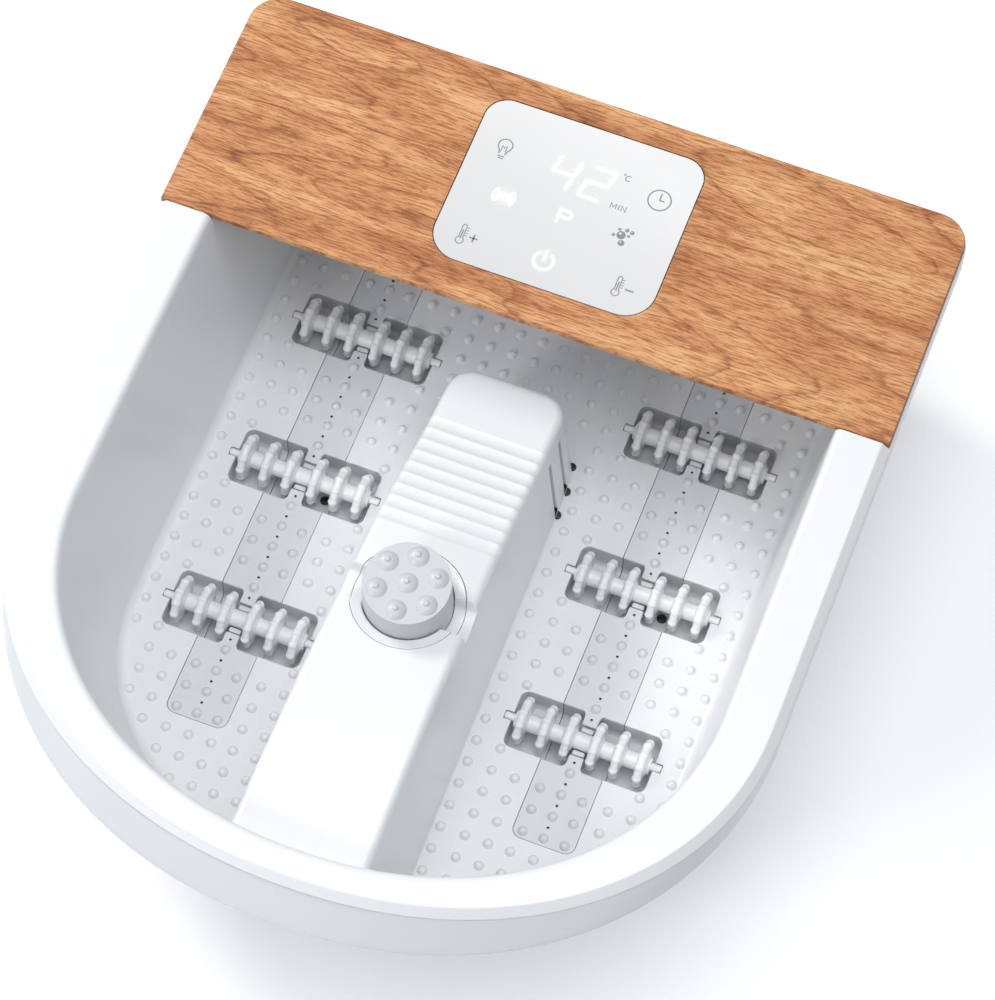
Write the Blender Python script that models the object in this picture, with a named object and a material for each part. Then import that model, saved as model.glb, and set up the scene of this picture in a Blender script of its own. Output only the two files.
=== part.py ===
"""Foot spa bath: a white basin with massage rollers under a wood-look rear cover.

Units are metres, +Z is up, and -Y is the user's side. The origin is on the ground
under the middle of the object's box.
"""
import math

import bmesh
import bpy
from mathutils import Matrix, Vector

# Overall size
WIDTH = 0.391
LENGTH = 0.4655
HEIGHT = 0.160
FLOOR_HEIGHT = 0.0395
WALL = 0.0025
GAP = 0.0003
OVERRUN = 0.002

# Front curve, shared by the rim, the cavity and the outer shell
CURVE_DEPTH_SHARE = 0.3652
CURVE_POWER = 2.1
CURVE_STEPS = 24
BACK_CORNER = 0.0175
CORNER_STEPS = 4

# Rim and collar
RIM_SIDE = 0.0287
RIM_FRONT = 0.0189
RIM_ROUND = 0.0044
COLLAR = 0.0042
COLLAR_LIP = 0.0008
COLLAR_BAND = 0.0047

# Outer shell
SHOULDER_REACH = 0.0141
SHOULDER_DROP = 0.0202
SHOULDER_BAND = 0.0024
SHELL_SIDE_DRAFT = 0.0500
SHELL_FRONT_DRAFT = 0.0660
SHELL_BACK_DRAFT = 0.0160
SHELL_CORNER = 0.030
SHELL_ROUND = 0.010
SHELL_FLANGE = 0.0040

# Cavity
SIDE_DRAFT = 0.0163
FRONT_DRAFT = 0.0225
BACK_DRAFT = 0.005
DECK_DEPTH = 0.0625
CAVITY_CORNER = 0.018
FLOOR_FILLET = 0.005

# Rear cover and control panel
COVER_DEPTH = 0.1344
COVER_THICKNESS = 0.0042
COVER_INSET = 0.0006
COVER_EDGE = 0.0012
PANEL_WIDTH = 0.1188
PANEL_FRONT = 0.020
PANEL_DEPTH = 0.0981
PANEL_FRONT_CORNER = 0.0165
PANEL_BACK_CORNER = 0.0125
TRAY_MARGIN = 0.0075
TRAY_DEPTH = 0.0120
TRAY_WALL = 0.0020

# Lattice of massage domes: shares of the floor's length and half width
LATTICE_SHARE = 0.591241
ROW_PITCH_SHARE = 0.0364964
COLUMN_PITCH_SHARE = 0.083056
DOME_RADIUS = 0.0028
DOME_RISE = 0.0017
DOME_SIDES = 4
DOME_COLUMN_SHARES = (0.5, 1.5, 2.5, 3.5, 4.55, 5.55, 9.55, 10.55, 11.55)
DOME_FRONT_COLUMN_SHARES = (3.5, 4.55, 5.55, 6.5, 7.5, 8.5, 9.55)
DOME_ROWS = range(-14, 11)
DOME_WALL_CLEAR = 0.0040
DOME_BACK_CLEAR = 0.0359
DOME_SIDE_CLEAR = 0.0032

# Strips over the air channels
STRIP_PLACE_SHARE = 0.49
STRIP_WIDTH = 0.0330
STRIP_PLATE = 0.0020
STRIP_FRONT_SHARE = 0.178832
STRIP_BACK_CLEAR = 0.002
STRIP_CORNER = 0.005
STRIP_DOME_OFFSET = 0.0113
STRIP_TRIPLE_ROWS = (10, 5, 4, 3, -2, -3, -4, -9, -10, -11)
STRIP_SINGLE_ROWS = (9, 6, 2, -1, -5, -8)
AIR_HOLE_ROW_SHARES = tuple(k + 0.5 for k in range(-11, 11))
AIR_HOLE_RADIUS = 0.0007
CHANNEL_DEPTH = 0.0030
CHANNEL_LEDGE = 0.0025

# Massage rollers
ROLLER_ROW_SHARES = (7.5, 0.5, -6.5)
AXIS_DEPTH = 0.0012
ROLLER_TIP = 0.0129
ROLLER_VALLEY = 0.0109
ROLLER_NUBS = 10
DISC_THICKNESS = 0.0046
DISC_FIRST = 0.0072
DISC_END_CLEAR = 0.00345
DISC_PAIRS = 3
SHAFT_RADIUS = 0.0046
SHAFT_SIDES = 8
PIN_RADIUS = 0.0021
PIN_CLEAR = 0.0003
ROLLER_CLEAR = 0.0012
POCKET_LENGTH_SHARE = 0.69364
POCKET_WIDTH = 0.0319
POCKET_CORNER = 0.0042
NOTCH_REACH = 0.0044
NOTCH_WIDTH = 0.0050
TONGUE_WIDTH = 0.0078
TONGUE_TIP = 0.0088
CLIP_WIDTH = 0.0066
CLIP_THICKNESS = 0.0028
CLIP_CLEAR = 0.0006
CLIP_DROP = 0.0010

# Central hump
HUMP_FRONT_HALF = 0.0355
HUMP_BACK_HALF = 0.0313
HUMP_DRAFT = 0.0050
HUMP_END_SHARE = 0.786131
HUMP_PLAN_ROUND = 0.0140
HUMP_EDGE = 0.0045
HUMP_RISE_SHARES = (0.8315, 0.8257, 0.7759, 0.5859, 0.5394)
SADDLE_DEPTH = 0.0090
RIDGE_FRONT_CLEAR = 0.0085
RIDGE_BACK_CLEAR = 0.0355
RIDGE_COUNT = 9
RIDGE_RISE = 0.0012
VENT_COUNT = 3
VENT_PITCH = 0.0144
VENT_BACK = 0.0342
VENT_RADIUS = 0.0019
VENT_HEIGHT = 0.0050
VENT_DEPTH = 0.0016
VENT_GROOVE_WIDTH = 0.0015
VENT_GROOVE_DEPTH = 0.0008
VENT_GROOVE_TOP = 0.0500

# Attachment and its seat
SEAT_SHARE = 0.362774
SEAT_RADIUS = 0.0285
SEAT_WELL = 0.0130
SEAT_FLOOR = 0.0025
SEAT_FUNNEL_DROP = 0.0026
SEAT_FUNNEL_RADIUS = 0.0280
SEAT_FUNNEL_EDGE = 0.0008
SCOOP_RADIUS = 0.0105
SCOOP_RISE = 0.0045
PUCK_RADIUS = 0.0229
PUCK_TAPER = 0.0006
PUCK_RISE = 0.0171
PUCK_CLEAR = 0.0004
PUCK_EDGE = 0.0006
MOUND_RADIUS = 0.0054
MOUND_RISE = 0.0019
MOUND_RING = 0.0156
MOUND_COUNT = 7
MOUND_SHOULDER_SHARE = 0.74
MOUND_SHOULDER_RISE_SHARE = 0.70
NUB_RADIUS = 0.0018
NUB_RISE = 0.0012
NUB_TIP_SHARE = 0.55

# Base, feet and screws
BASE_HEIGHT = 0.0030
FOOT_RADIUS = 0.0110
FOOT_STEM = 0.0040
FOOT_CHAMFER = 0.0008
FOOT_SIDE = 0.0955
FOOT_FRONT = 0.12775
FOOT_BACK = 0.04775
POST_PLACE_SHARE = 0.4335
POST_FRONT_SHARE = 0.152555
POST_BACK_SHARE = 0.745255
POST_RADIUS = 0.0055
BOSS_RADIUS = 0.0045
BOSS_LENGTH = 0.0100
SCREW_RADIUS = 0.0018
SCREW_HEAD = 0.0036
SCREW_HEAD_HEIGHT = 0.0022
SCREW_CLEAR = 0.0004
STRIP_SCREW_X = 0.0122
STRIP_SCREW_Y = -0.0030
STRIP_SCREW_LENGTH = 0.0060
STRIP_SCREW_HEAD = 0.0026
STRIP_SCREW_HEAD_HEIGHT = 0.0012

# Blower and air ducts
BLOWER_SHARE = -0.3069
BLOWER_BACK = 0.04675
BLOWER_RADIUS = 0.0270
BLOWER_LENGTH = 0.0200
BLOWER_WALL = 0.0020
BLOWER_COVER = 0.0017
BLOWER_INTAKE = 0.0090
BLOWER_NECK = 0.0050
BLOWER_NECK_DROP = 0.0060
BLOWER_LEG_X = 0.0120
BLOWER_LEG_WIDTH = 0.0060
BLOWER_LEG_DEPTH = 0.0055
BLOWER_MOTOR_RADIUS = 0.0120
BLOWER_MOTOR_LENGTH = 0.0140
IMPELLER_RADIUS = 0.0225
IMPELLER_HUB = 0.0060
IMPELLER_DISC = 0.0015
IMPELLER_BLADE = 0.0014
IMPELLER_BLADES = 8
IMPELLER_CLEAR = 0.0020
IMPELLER_SHAFT = 0.0015
IMPELLER_SHAFT_LENGTH = 0.0080
MANIFOLD_BACK = 0.04225
MANIFOLD_RADIUS = 0.0075
MANIFOLD_END = 0.0060
MANIFOLD_WALL = 0.0018
MANIFOLD_REST_SHARE = 0.179
MANIFOLD_REST = 0.0060
SPIGOT_DROP = 0.0046
SPIGOT_RADIUS = 0.0045
SPIGOT_BORE = 0.0028
SPIGOT_LENGTH = 0.0100
NIPPLE_GAP = 0.0008
HOSE_WALL = 0.0016
HOSE_BACK = 0.0022

# Vibration motor under the hump
VIBRATION_SHARE = 0.167153
VIBRATION_RISE = 0.0120
VIBRATION_RADIUS = 0.0100
VIBRATION_HALF = 0.0150
BRACKET_CLEAR = 0.0030
BRACKET_HALF_LENGTH = 0.0220
BRACKET_PLATE = 0.0020
CRADLE_HALF_WIDTH = 0.0120
CRADLE_HALF_LENGTH = 0.0080
CRADLE_RISE = 0.0090
WEIGHT_RADIUS = 0.0090
WEIGHT_LENGTH = 0.0060
WEIGHT_GAP = 0.0020
WEIGHT_SHAFT = 0.0012

# Heaters, sensors and the lamp
HEATER_PLACE_SHARE = 0.47
HEATER_WIDTH_SHARE = 0.30
HEATER_LENGTH_SHARE = 0.217
HEATER_THICKNESS = 0.0040
CUTOUT_RADIUS = 0.0060
CUTOUT_HEIGHT = 0.0050
SENSOR_SHARE = 0.91168
SENSOR_RADIUS = 0.0030
SENSOR_LENGTH = 0.0070
LAMP_RADIUS = 0.0150
LAMP_LED_RADIUS = 0.0025
LAMP_LED_HEIGHT = 0.0020

# Electronics
BOARD_THICKNESS = 0.0016
DISPLAY_MARGIN = 0.0060
DISPLAY_LIFT = 0.0040
DISPLAY_POST = 0.0025
DISPLAY_POST_X = 0.0390
DISPLAY_POST_Y = 0.0370
DIGITS_WIDTH = 0.0360
DIGITS_DEPTH = 0.0260
PANEL_LEDGE = 0.0020
PANEL_LEDGE_THICKNESS = 0.0009
PANEL_RECESS = 0.0002
POWER_SHARE = 0.3683
POWER_HALF_SHARE = 0.2046
POWER_BACK = 0.03275
POWER_HEIGHT = 0.0800
RAIL_WIDTH = 0.0060
RAIL_DEPTH = 0.0048
RAIL_HEIGHT = 0.0200
TRANSFORMER_SIZE = (0.0260, 0.0190, 0.0220)
TRANSFORMER_OFFSET = 0.0200
TRANSFORMER_HEIGHT_SHARE = 0.774
RELAY_SIZE = (0.0180, 0.0120, 0.0140)
RELAY_OFFSET = -0.0060
RELAY_HEIGHT_SHARE = 0.849
CAPACITOR_RADIUS = 0.0060
CAPACITOR_LENGTH = 0.0140
CAPACITOR_OFFSET = -0.0060
CAPACITOR_HEIGHT_SHARE = 0.624
RIBBON_SIDE = 0.0120
RIBBON_WIDTH = 0.0080
RIBBON_THICKNESS = 0.0008
RIBBON_OVERLAP = 0.0080
GLAND_SIDE = 0.0855
GLAND_HEIGHT = 0.0280
GLAND_RADIUS = 0.0048
GLAND_FLANGE = 0.0080
GLAND_FLANGE_THICKNESS = 0.0020
GLAND_LENGTH = 0.0110
GLAND_BORE = 0.0038

SIDES = (("left", -1), ("right", 1))
ROWS = ("back", "middle", "front")

# Places worked out from the sizes above
FRONT = -LENGTH / 2
BACK = LENGTH / 2
HALF = WIDTH / 2
CURVE_START = FRONT + LENGTH * CURVE_DEPTH_SHARE
SEAM_FRONT = FRONT + SHOULDER_REACH
COVER_FRONT = BACK - COVER_DEPTH
DECK_DROP = COVER_THICKNESS + GAP
CAVITY_HALF = HALF - RIM_SIDE
CAVITY_FRONT = SEAM_FRONT + RIM_FRONT
CAVITY_BACK = BACK - DECK_DEPTH
FLOOR_HALF = CAVITY_HALF - SIDE_DRAFT
FLOOR_FRONT = CAVITY_FRONT + FRONT_DRAFT
FLOOR_BACK = CAVITY_BACK - BACK_DRAFT
FLOOR_LENGTH = FLOOR_BACK - FLOOR_FRONT
HUMP_FOOT_HALF = HUMP_FRONT_HALF + HUMP_DRAFT
LANE = FLOOR_HALF - HUMP_FOOT_HALF
STRIP_X = HUMP_FOOT_HALF + LANE * STRIP_PLACE_SHARE
STRIP_FRONT = FLOOR_FRONT + FLOOR_LENGTH * STRIP_FRONT_SHARE
ROW_PITCH = FLOOR_LENGTH * ROW_PITCH_SHARE
COLUMN_PITCH = FLOOR_HALF * COLUMN_PITCH_SHARE
POCKET_DEPTH = AXIS_DEPTH + ROLLER_TIP + ROLLER_CLEAR
POCKET_LENGTH = LANE * POCKET_LENGTH_SHARE
DISC_LAST = POCKET_LENGTH / 2 - DISC_THICKNESS / 2 - DISC_END_CLEAR
DISC_STEP = (DISC_LAST - DISC_FIRST) / (DISC_PAIRS - 1)
STRIP_BACK = FLOOR_BACK - FLOOR_FILLET - STRIP_BACK_CLEAR
AXIS_HEIGHT = FLOOR_HEIGHT - AXIS_DEPTH
HUMP_END = FLOOR_FRONT + FLOOR_LENGTH * HUMP_END_SHARE
HUMP_HEIGHTS = tuple((HEIGHT - FLOOR_HEIGHT) * share for share in HUMP_RISE_SHARES)
SEAT_Y = FLOOR_FRONT + FLOOR_LENGTH * SEAT_SHARE
RIDGE_FRONT = SEAT_Y + SEAT_RADIUS + RIDGE_FRONT_CLEAR
RIDGE_BACK = HUMP_END - RIDGE_BACK_CLEAR
VENT_FIRST = HUMP_END - VENT_BACK
FOOT_X = HALF - FOOT_SIDE
FOOT_FRONT_Y = FRONT + FOOT_FRONT
FOOT_BACK_Y = BACK - FOOT_BACK
CHANNEL_SIDE = STRIP_WIDTH / 2 + GAP + WALL
POST_X = HUMP_FOOT_HALF + (STRIP_X - CHANNEL_SIDE - HUMP_FOOT_HALF) * POST_PLACE_SHARE
POST_FRONT_Y = FLOOR_FRONT + FLOOR_LENGTH * POST_FRONT_SHARE
POST_BACK_Y = FLOOR_FRONT + FLOOR_LENGTH * POST_BACK_SHARE
BRACKET_HALF_WIDTH = POST_X - BOSS_RADIUS - BRACKET_CLEAR
VIBRATION_Y = FLOOR_FRONT + FLOOR_LENGTH * VIBRATION_SHARE
OUTER_LANE = FLOOR_HALF - STRIP_X - CHANNEL_SIDE
HEATER_X = STRIP_X + CHANNEL_SIDE + OUTER_LANE * HEATER_PLACE_SHARE
HEATER_ROW_SHARE = (ROLLER_ROW_SHARES[1] + ROLLER_ROW_SHARES[2]) / 2
HEATER_HALF_WIDTH = OUTER_LANE * HEATER_WIDTH_SHARE
HEATER_HALF_LENGTH = (ROLLER_ROW_SHARES[1] - ROLLER_ROW_SHARES[2]) * ROW_PITCH * HEATER_LENGTH_SHARE
SENSOR_Y = FLOOR_FRONT + FLOOR_LENGTH * SENSOR_SHARE
BLOWER_X = HALF * BLOWER_SHARE
BLOWER_Y = BACK - BLOWER_BACK
MANIFOLD_Y = BACK - MANIFOLD_BACK
MANIFOLD_REST_X = HALF * MANIFOLD_REST_SHARE
POWER_X = HALF * POWER_SHARE
POWER_HALF = HALF * POWER_HALF_SHARE
POWER_Y = BACK - POWER_BACK
POWER_BOTTOM = BASE_HEIGHT + WALL + GAP * 2
GLAND_X = GLAND_SIDE - HALF
RIBBON_X = POWER_X - POWER_HALF + RIBBON_SIDE
PANEL_Y0 = COVER_FRONT + PANEL_FRONT
PANEL_Y1 = PANEL_Y0 + PANEL_DEPTH
SPIGOT_END = FLOOR_BACK + WALL + SPIGOT_LENGTH
MANIFOLD_HEIGHT = FLOOR_HEIGHT - SPIGOT_DROP
BLOWER_HEIGHT = MANIFOLD_HEIGHT + MANIFOLD_RADIUS + GAP + BLOWER_NECK_DROP + BLOWER_RADIUS
RIBBON_Y = POWER_Y - BOARD_THICKNESS / 2 - GAP
DISPLAY_BOTTOM = HEIGHT - COVER_THICKNESS - TRAY_DEPTH + TRAY_WALL + DISPLAY_LIFT
COVER_TOP = HEIGHT
SHELL_BOTTOM = BASE_HEIGHT + WALL + GAP

# Colour, roughness and metallic value of each finish
FINISHES = {
    "white_plastic": ((0.86, 0.87, 0.88), 0.35, 0.0),
    "pale_grey_plastic": ((0.68, 0.69, 0.71), 0.40, 0.0),
    "roller_plastic": ((0.83, 0.84, 0.85), 0.30, 0.0),
    "wood_look": ((0.60, 0.36, 0.17), 0.45, 0.0),
    "panel_glass": ((0.72, 0.73, 0.73), 0.12, 0.0),
    "dark_rubber": ((0.05, 0.05, 0.05), 0.75, 0.0),
    "clear_hose": ((0.70, 0.72, 0.72), 0.45, 0.0),
    "circuit_board": ((0.04, 0.22, 0.12), 0.50, 0.0),
    "black_plastic": ((0.04, 0.04, 0.045), 0.45, 0.0),
    "steel": ((0.62, 0.62, 0.63), 0.30, 1.0),
    "aluminium": ((0.75, 0.76, 0.78), 0.35, 1.0),
}


def material(name):
    """Return the Principled material of one finish, made on first use."""
    if name in bpy.data.materials:
        return bpy.data.materials[name]
    colour, roughness, metallic = FINISHES[name]
    made = bpy.data.materials.new(name)
    made.use_nodes = True
    shader = made.node_tree.nodes["Principled BSDF"]
    shader.inputs["Base Color"].default_value = (*colour, 1.0)
    shader.inputs["Roughness"].default_value = roughness
    shader.inputs["Metallic"].default_value = metallic
    made.diffuse_color = (*colour, 1.0)
    return made


def add(name, bm, finish, smooth=math.radians(35)):
    """Turn a bmesh into a named object with its finish."""
    bmesh.ops.recalc_face_normals(bm, faces=bm.faces)
    mesh = bpy.data.meshes.new(name)
    bm.to_mesh(mesh)
    bm.free()
    mesh.shade_smooth()
    mesh.set_sharp_from_angle(angle=smooth)
    mesh.materials.append(material(finish))
    obj = bpy.data.objects.new(name, mesh)
    bpy.context.scene.collection.objects.link(obj)
    return obj


def guide(name, bm):
    """A helper shape that Booleans use and that isn't part of the object."""
    obj = add(name, bm, "white_plastic")
    obj.hide_render = True
    obj.display_type = "WIRE"
    return obj


def combine(target, other, operation):
    step = target.modifiers.new(other.name, "BOOLEAN")
    step.object = other
    step.operation = operation
    step.solver = "EXACT"


def cut(target, *cutters):
    for cutter in cutters:
        combine(target, cutter, "DIFFERENCE")


def join(target, *pieces):
    for piece in pieces:
        combine(target, piece, "UNION")


def loft(rings, closed=False, cap=None):
    """Skin a list of rings with equal point counts; cap the ends or close the tube."""
    bm = bmesh.new()
    loops = [[bm.verts.new(point) for point in ring] for ring in rings]
    pairs = list(zip(loops, loops[1:]))
    if closed:
        pairs.append((loops[-1], loops[0]))
    for low, high in pairs:
        for i in range(len(low)):
            j = (i + 1) % len(low)
            bm.faces.new((low[i], low[j], high[j], high[i]))
    if not closed:
        for loop in (loops[0], loops[-1]):
            (cap or cap_flat)(bm, loop)
    return bm


def cap_flat(bm, loop):
    bm.faces.new(loop)


def cap_ladder(bm, loop):
    """Close a ring whose two halves mirror each other with faces straight across."""
    half = len(loop) // 2
    for i in range(half - 1):
        bm.faces.new((loop[i], loop[i + 1], loop[-i - 2], loop[-i - 1]))


def prism(points, axis, low, high):
    """Extrude a flat outline along X, Y or Z between two places."""
    place = {
        "x": lambda a, b, c: (c, a, b),
        "y": lambda a, b, c: (a, c, b),
        "z": lambda a, b, c: (a, b, c),
    }[axis]
    return loft([[place(a, b, c) for a, b in points] for c in (low, high)])


def box(low, high):
    corners = [(low[0], low[1]), (high[0], low[1]), (high[0], high[1]), (low[0], high[1])]
    return prism(corners, "z", low[2], high[2])


def circle(radius, count, centre=(0, 0)):
    turn = [2 * math.pi * (i + 0.5) / count for i in range(count)]
    return [(centre[0] + radius * math.cos(a), centre[1] + radius * math.sin(a)) for a in turn]


def cylinder(radius, axis, low, high, centre=(0, 0), count=16):
    """A round bar; centre is its place on the two other axes, in X, Y, Z order."""
    return prism(circle(radius, count, centre), axis, low, high)


def turned(profile, centre, count=20):
    """A solid of revolution about a vertical axis, from (radius, height) pairs."""
    rings = []
    for radius, height in profile:
        rings.append([(x, y, height) for x, y in circle(radius, count, centre)])
    return loft(rings)


def rounded_box(half_x, half_y, corner, centre=(0, 0), steps=3):
    """Outline of a rectangle with round corners; corner is one radius or (front, back)."""
    front, back = corner if isinstance(corner, tuple) else (corner, corner)
    points = []
    for sx, sy, radius, start in ((1, 1, back, 0), (-1, 1, back, 1), (-1, -1, front, 2), (1, -1, front, 3)):
        for i in range(steps + 1):
            a = math.pi / 2 * (start + i / steps)
            x = sx * (half_x - radius) + radius * math.cos(a)
            y = sy * (half_y - radius) + radius * math.sin(a)
            points.append((centre[0] + x, centre[1] + y))
    return points


def merged(*parts):
    """Put several separate closed bmeshes into one."""
    whole = bmesh.new()
    for part in parts:
        moved = {v: whole.verts.new(v.co) for v in part.verts}
        bmesh.ops.recalc_face_normals(part, faces=part.faces)
        for face in part.faces:
            whole.faces.new([moved[v] for v in face.verts])
        part.free()
    return whole


def row_y(row):
    return FLOOR_FRONT + FLOOR_LENGTH * LATTICE_SHARE + row * ROW_PITCH


HEATER_Y = row_y(HEATER_ROW_SHARE)


def outline(shape, inset=0.0):
    """Plan of the tub: curved front, straight sides and round back corners."""
    half, front, back, corner = shape
    half, front, back, corner = half - inset, front + inset, back - inset, corner - inset
    points = []
    for i in range(CURVE_STEPS + 1):
        a = math.pi * i / CURVE_STEPS
        reach_x = abs(math.cos(a)) ** (2 / CURVE_POWER)
        reach_y = abs(math.sin(a)) ** (2 / CURVE_POWER)
        x = math.copysign(half * reach_x, math.cos(a))
        points.append((x, CURVE_START - (CURVE_START - front) * reach_y))
    points += [(-half, COVER_FRONT - GAP), (-half, COVER_FRONT)]
    points += back_arcs(half, back, corner, CORNER_STEPS)
    points += [(half, COVER_FRONT), (half, COVER_FRONT - GAP)]
    return points


def back_arcs(half, back, radius, steps):
    """The two round corners at the back, from left to right."""
    points = []
    for side, start in ((-1, math.pi), (1, math.pi / 2)):
        for i in range(steps + 1):
            a = start - math.pi / 2 * i / steps
            x = side * (half - radius) + radius * math.cos(a)
            points.append((x, back - radius + radius * math.sin(a)))
    return points


def ring(points, height, back_height=None):
    """Give an outline its height; the part under the rear cover may lie lower."""
    if back_height is None:
        back_height = height
    middle = COVER_FRONT - GAP / 2
    return [(x, y, back_height if y > middle else height) for x, y in points]


def between(low, high, share):
    return tuple(a + (b - a) * share for a, b in zip(low, high))


SEAM = (HALF, SEAM_FRONT, BACK, BACK_CORNER)
SHOULDER = (HALF, FRONT, BACK, BACK_CORNER)
SHELL_FOOT = (HALF - SHELL_SIDE_DRAFT, FRONT + SHELL_FRONT_DRAFT, BACK - SHELL_BACK_DRAFT, SHELL_CORNER)
CAVITY = (CAVITY_HALF, CAVITY_FRONT, CAVITY_BACK, CAVITY_CORNER)
FLOOR = (FLOOR_HALF, FLOOR_FRONT, FLOOR_BACK, CAVITY_CORNER)
ROUND_SHARE = 0.3


def basin_shell():
    """Skin of the basin: cavity, flat rim, collar and the wall's outer side."""
    top, deck = HEIGHT, HEIGHT - DECK_DROP
    seam = HEIGHT - COLLAR
    low = FLOOR_HEIGHT
    wall_rise = FLOOR_FILLET / (HEIGHT - RIM_ROUND - FLOOR_HEIGHT)
    wall_foot = between(FLOOR, CAVITY, wall_rise)
    fillet, rim = FLOOR_FILLET * ROUND_SHARE, RIM_ROUND * ROUND_SHARE
    rings = [
        ring(outline(FLOOR, FLOOR_FILLET), low),
        ring(outline(FLOOR, fillet), low + fillet),
        ring(outline(wall_foot), low + FLOOR_FILLET),
        ring(outline(CAVITY), top - RIM_ROUND, deck - RIM_ROUND),
        ring(outline(CAVITY, -rim), top - rim, deck - rim),
        ring(outline(CAVITY, -RIM_ROUND), top, deck),
        ring(outline(SEAM, COLLAR), top, deck),
        ring(outline(SEAM), seam, deck - GAP),
        ring(outline(SEAM), seam - COLLAR_LIP, deck - WALL),
        ring(outline(SEAM, COLLAR_BAND), seam - COLLAR_LIP, deck - WALL),
        ring(outline(SEAM, COLLAR_BAND), top - WALL, deck - WALL + GAP),
        ring(outline(CAVITY, -WALL - RIM_ROUND), top - WALL, deck - WALL + GAP),
        ring(outline(CAVITY, -WALL), top - WALL - RIM_ROUND, deck - WALL - RIM_ROUND),
        ring(outline(FLOOR, -WALL), low + FLOOR_FILLET),
        ring(outline(FLOOR, FLOOR_FILLET - WALL), low - WALL),
    ]
    return loft(rings)


def hump_height(y):
    """Height of the hump's smooth top over the floor at a place along it."""
    places = (CAVITY_FRONT, SEAT_Y - SEAT_RADIUS, SEAT_Y + SEAT_RADIUS, RIDGE_BACK, HUMP_END)
    y = min(max(y, places[0]), places[-1])
    last = len(places) - 1
    slopes = [(HUMP_HEIGHTS[i + 1] - HUMP_HEIGHTS[i]) / (places[i + 1] - places[i]) for i in range(last)]
    tangents = [slopes[0]] + [(a + b) / 2 for a, b in zip(slopes, slopes[1:])] + [slopes[-1]]
    tangents[1], tangents[2] = slopes[1], slopes[1]
    i = max(k for k in range(last) if y >= places[k])
    span = places[i + 1] - places[i]
    t = (y - places[i]) / span
    start, end = HUMP_HEIGHTS[i], HUMP_HEIGHTS[i + 1]
    blend = t * t * (3 - 2 * t)
    lead = (t ** 3 - 2 * t * t + t) * span * tangents[i]
    trail = (t ** 3 - t * t) * span * tangents[i + 1]
    return start + (end - start) * blend + lead + trail


def ridge_height(y):
    """Rise of the scalloped cross ridges behind the attachment."""
    place = (y - RIDGE_FRONT) / (RIDGE_BACK - RIDGE_FRONT) * RIDGE_COUNT
    if not 0 < place < RIDGE_COUNT:
        return 0.0
    t = place % 1
    return RIDGE_RISE * 4 * t * (1 - t)


def hump_half(y):
    share = (y - CAVITY_FRONT) / (HUMP_END - CAVITY_FRONT)
    return HUMP_FRONT_HALF + (HUMP_BACK_HALF - HUMP_FRONT_HALF) * min(max(share, 0), 1)


def hump_plan(stations, inset):
    """Plan ring of the hump: the left side towards the back, then the right side."""
    left = [(-hump_half(y) + inset, y) for y in stations]
    radius = HUMP_PLAN_ROUND - inset
    half = hump_half(HUMP_END) - HUMP_PLAN_ROUND
    for i in range(1, CORNER_STEPS + 1):
        a = math.pi / 2 * i / CORNER_STEPS
        left.append((-half - radius * math.cos(a), HUMP_END - HUMP_PLAN_ROUND + radius * math.sin(a)))
    return left + [(-x, y) for x, y in reversed(left)]


def hump_solid(stations, inset, drop, bottom, with_ridges):
    """Loft of the hump from its foot to its rounded top edge."""

    def top(points, down):
        raised = []
        for x, y in points:
            height = hump_height(y) - drop(y) - down
            if with_ridges:
                height += ridge_height(y)
            raised.append((x, y, FLOOR_HEIGHT + height))
        return raised

    foot = [(x, y, bottom) for x, y in hump_plan(stations, inset - HUMP_DRAFT)]
    rings = [foot]
    for inward, down in ((0, 1), (ROUND_SHARE, ROUND_SHARE), (1, 0)):
        rings.append(top(hump_plan(stations, inset + HUMP_EDGE * inward), HUMP_EDGE * down))
    return loft(rings, cap=cap_ladder)


def hump_parts():
    """The hump's outer solid, trimmed to the front wall, and the hollow below it."""
    ridges = RIDGE_COUNT * 2
    ridge_step = (RIDGE_BACK - RIDGE_FRONT) / ridges
    seat_ends = [SEAT_Y - SEAT_RADIUS, SEAT_Y + SEAT_RADIUS]
    stations = [CAVITY_FRONT - WALL, (CAVITY_FRONT + seat_ends[0]) / 2, *seat_ends]
    stations += [RIDGE_FRONT + ridge_step * i for i in range(ridges + 1)]
    stations.append(HUMP_END - HUMP_PLAN_ROUND)
    outer = guide("hump_outer", hump_solid(stations, 0.0, lambda y: 0.0, FLOOR_HEIGHT - WALL / 2, True))
    fillet, middle = FLOOR_FILLET * ROUND_SHARE, WALL / 2
    envelope = [
        ring(outline(FLOOR, FLOOR_FILLET - middle), FLOOR_HEIGHT - WALL),
        ring(outline(FLOOR, fillet - middle), FLOOR_HEIGHT + fillet),
        ring(outline(FLOOR, -middle), FLOOR_HEIGHT + FLOOR_FILLET),
        ring(outline(CAVITY, -middle), HEIGHT),
    ]
    combine(outer, guide("basin_envelope", loft(envelope)), "INTERSECT")

    reach = SEAT_RADIUS + WALL * 2
    edges = [SEAT_Y - reach, SEAT_Y - reach + GAP, SEAT_Y + reach - GAP, SEAT_Y + reach]
    inner_stations = [CAVITY_FRONT - WALL * 2, *edges, RIDGE_BACK, HUMP_END - HUMP_PLAN_ROUND]

    def drop(y):
        return SADDLE_DEPTH if edges[1] <= y <= edges[2] else WALL

    hollow = hump_solid(inner_stations, WALL, drop, FLOOR_HEIGHT - WALL - OVERRUN, False)
    return outer, guide("hump_hollow", hollow)


def pocket_centres():
    for side, sign in SIDES:
        for row, share in zip(ROWS, ROLLER_ROW_SHARES):
            yield side, row, sign * STRIP_X, row_y(share)


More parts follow.
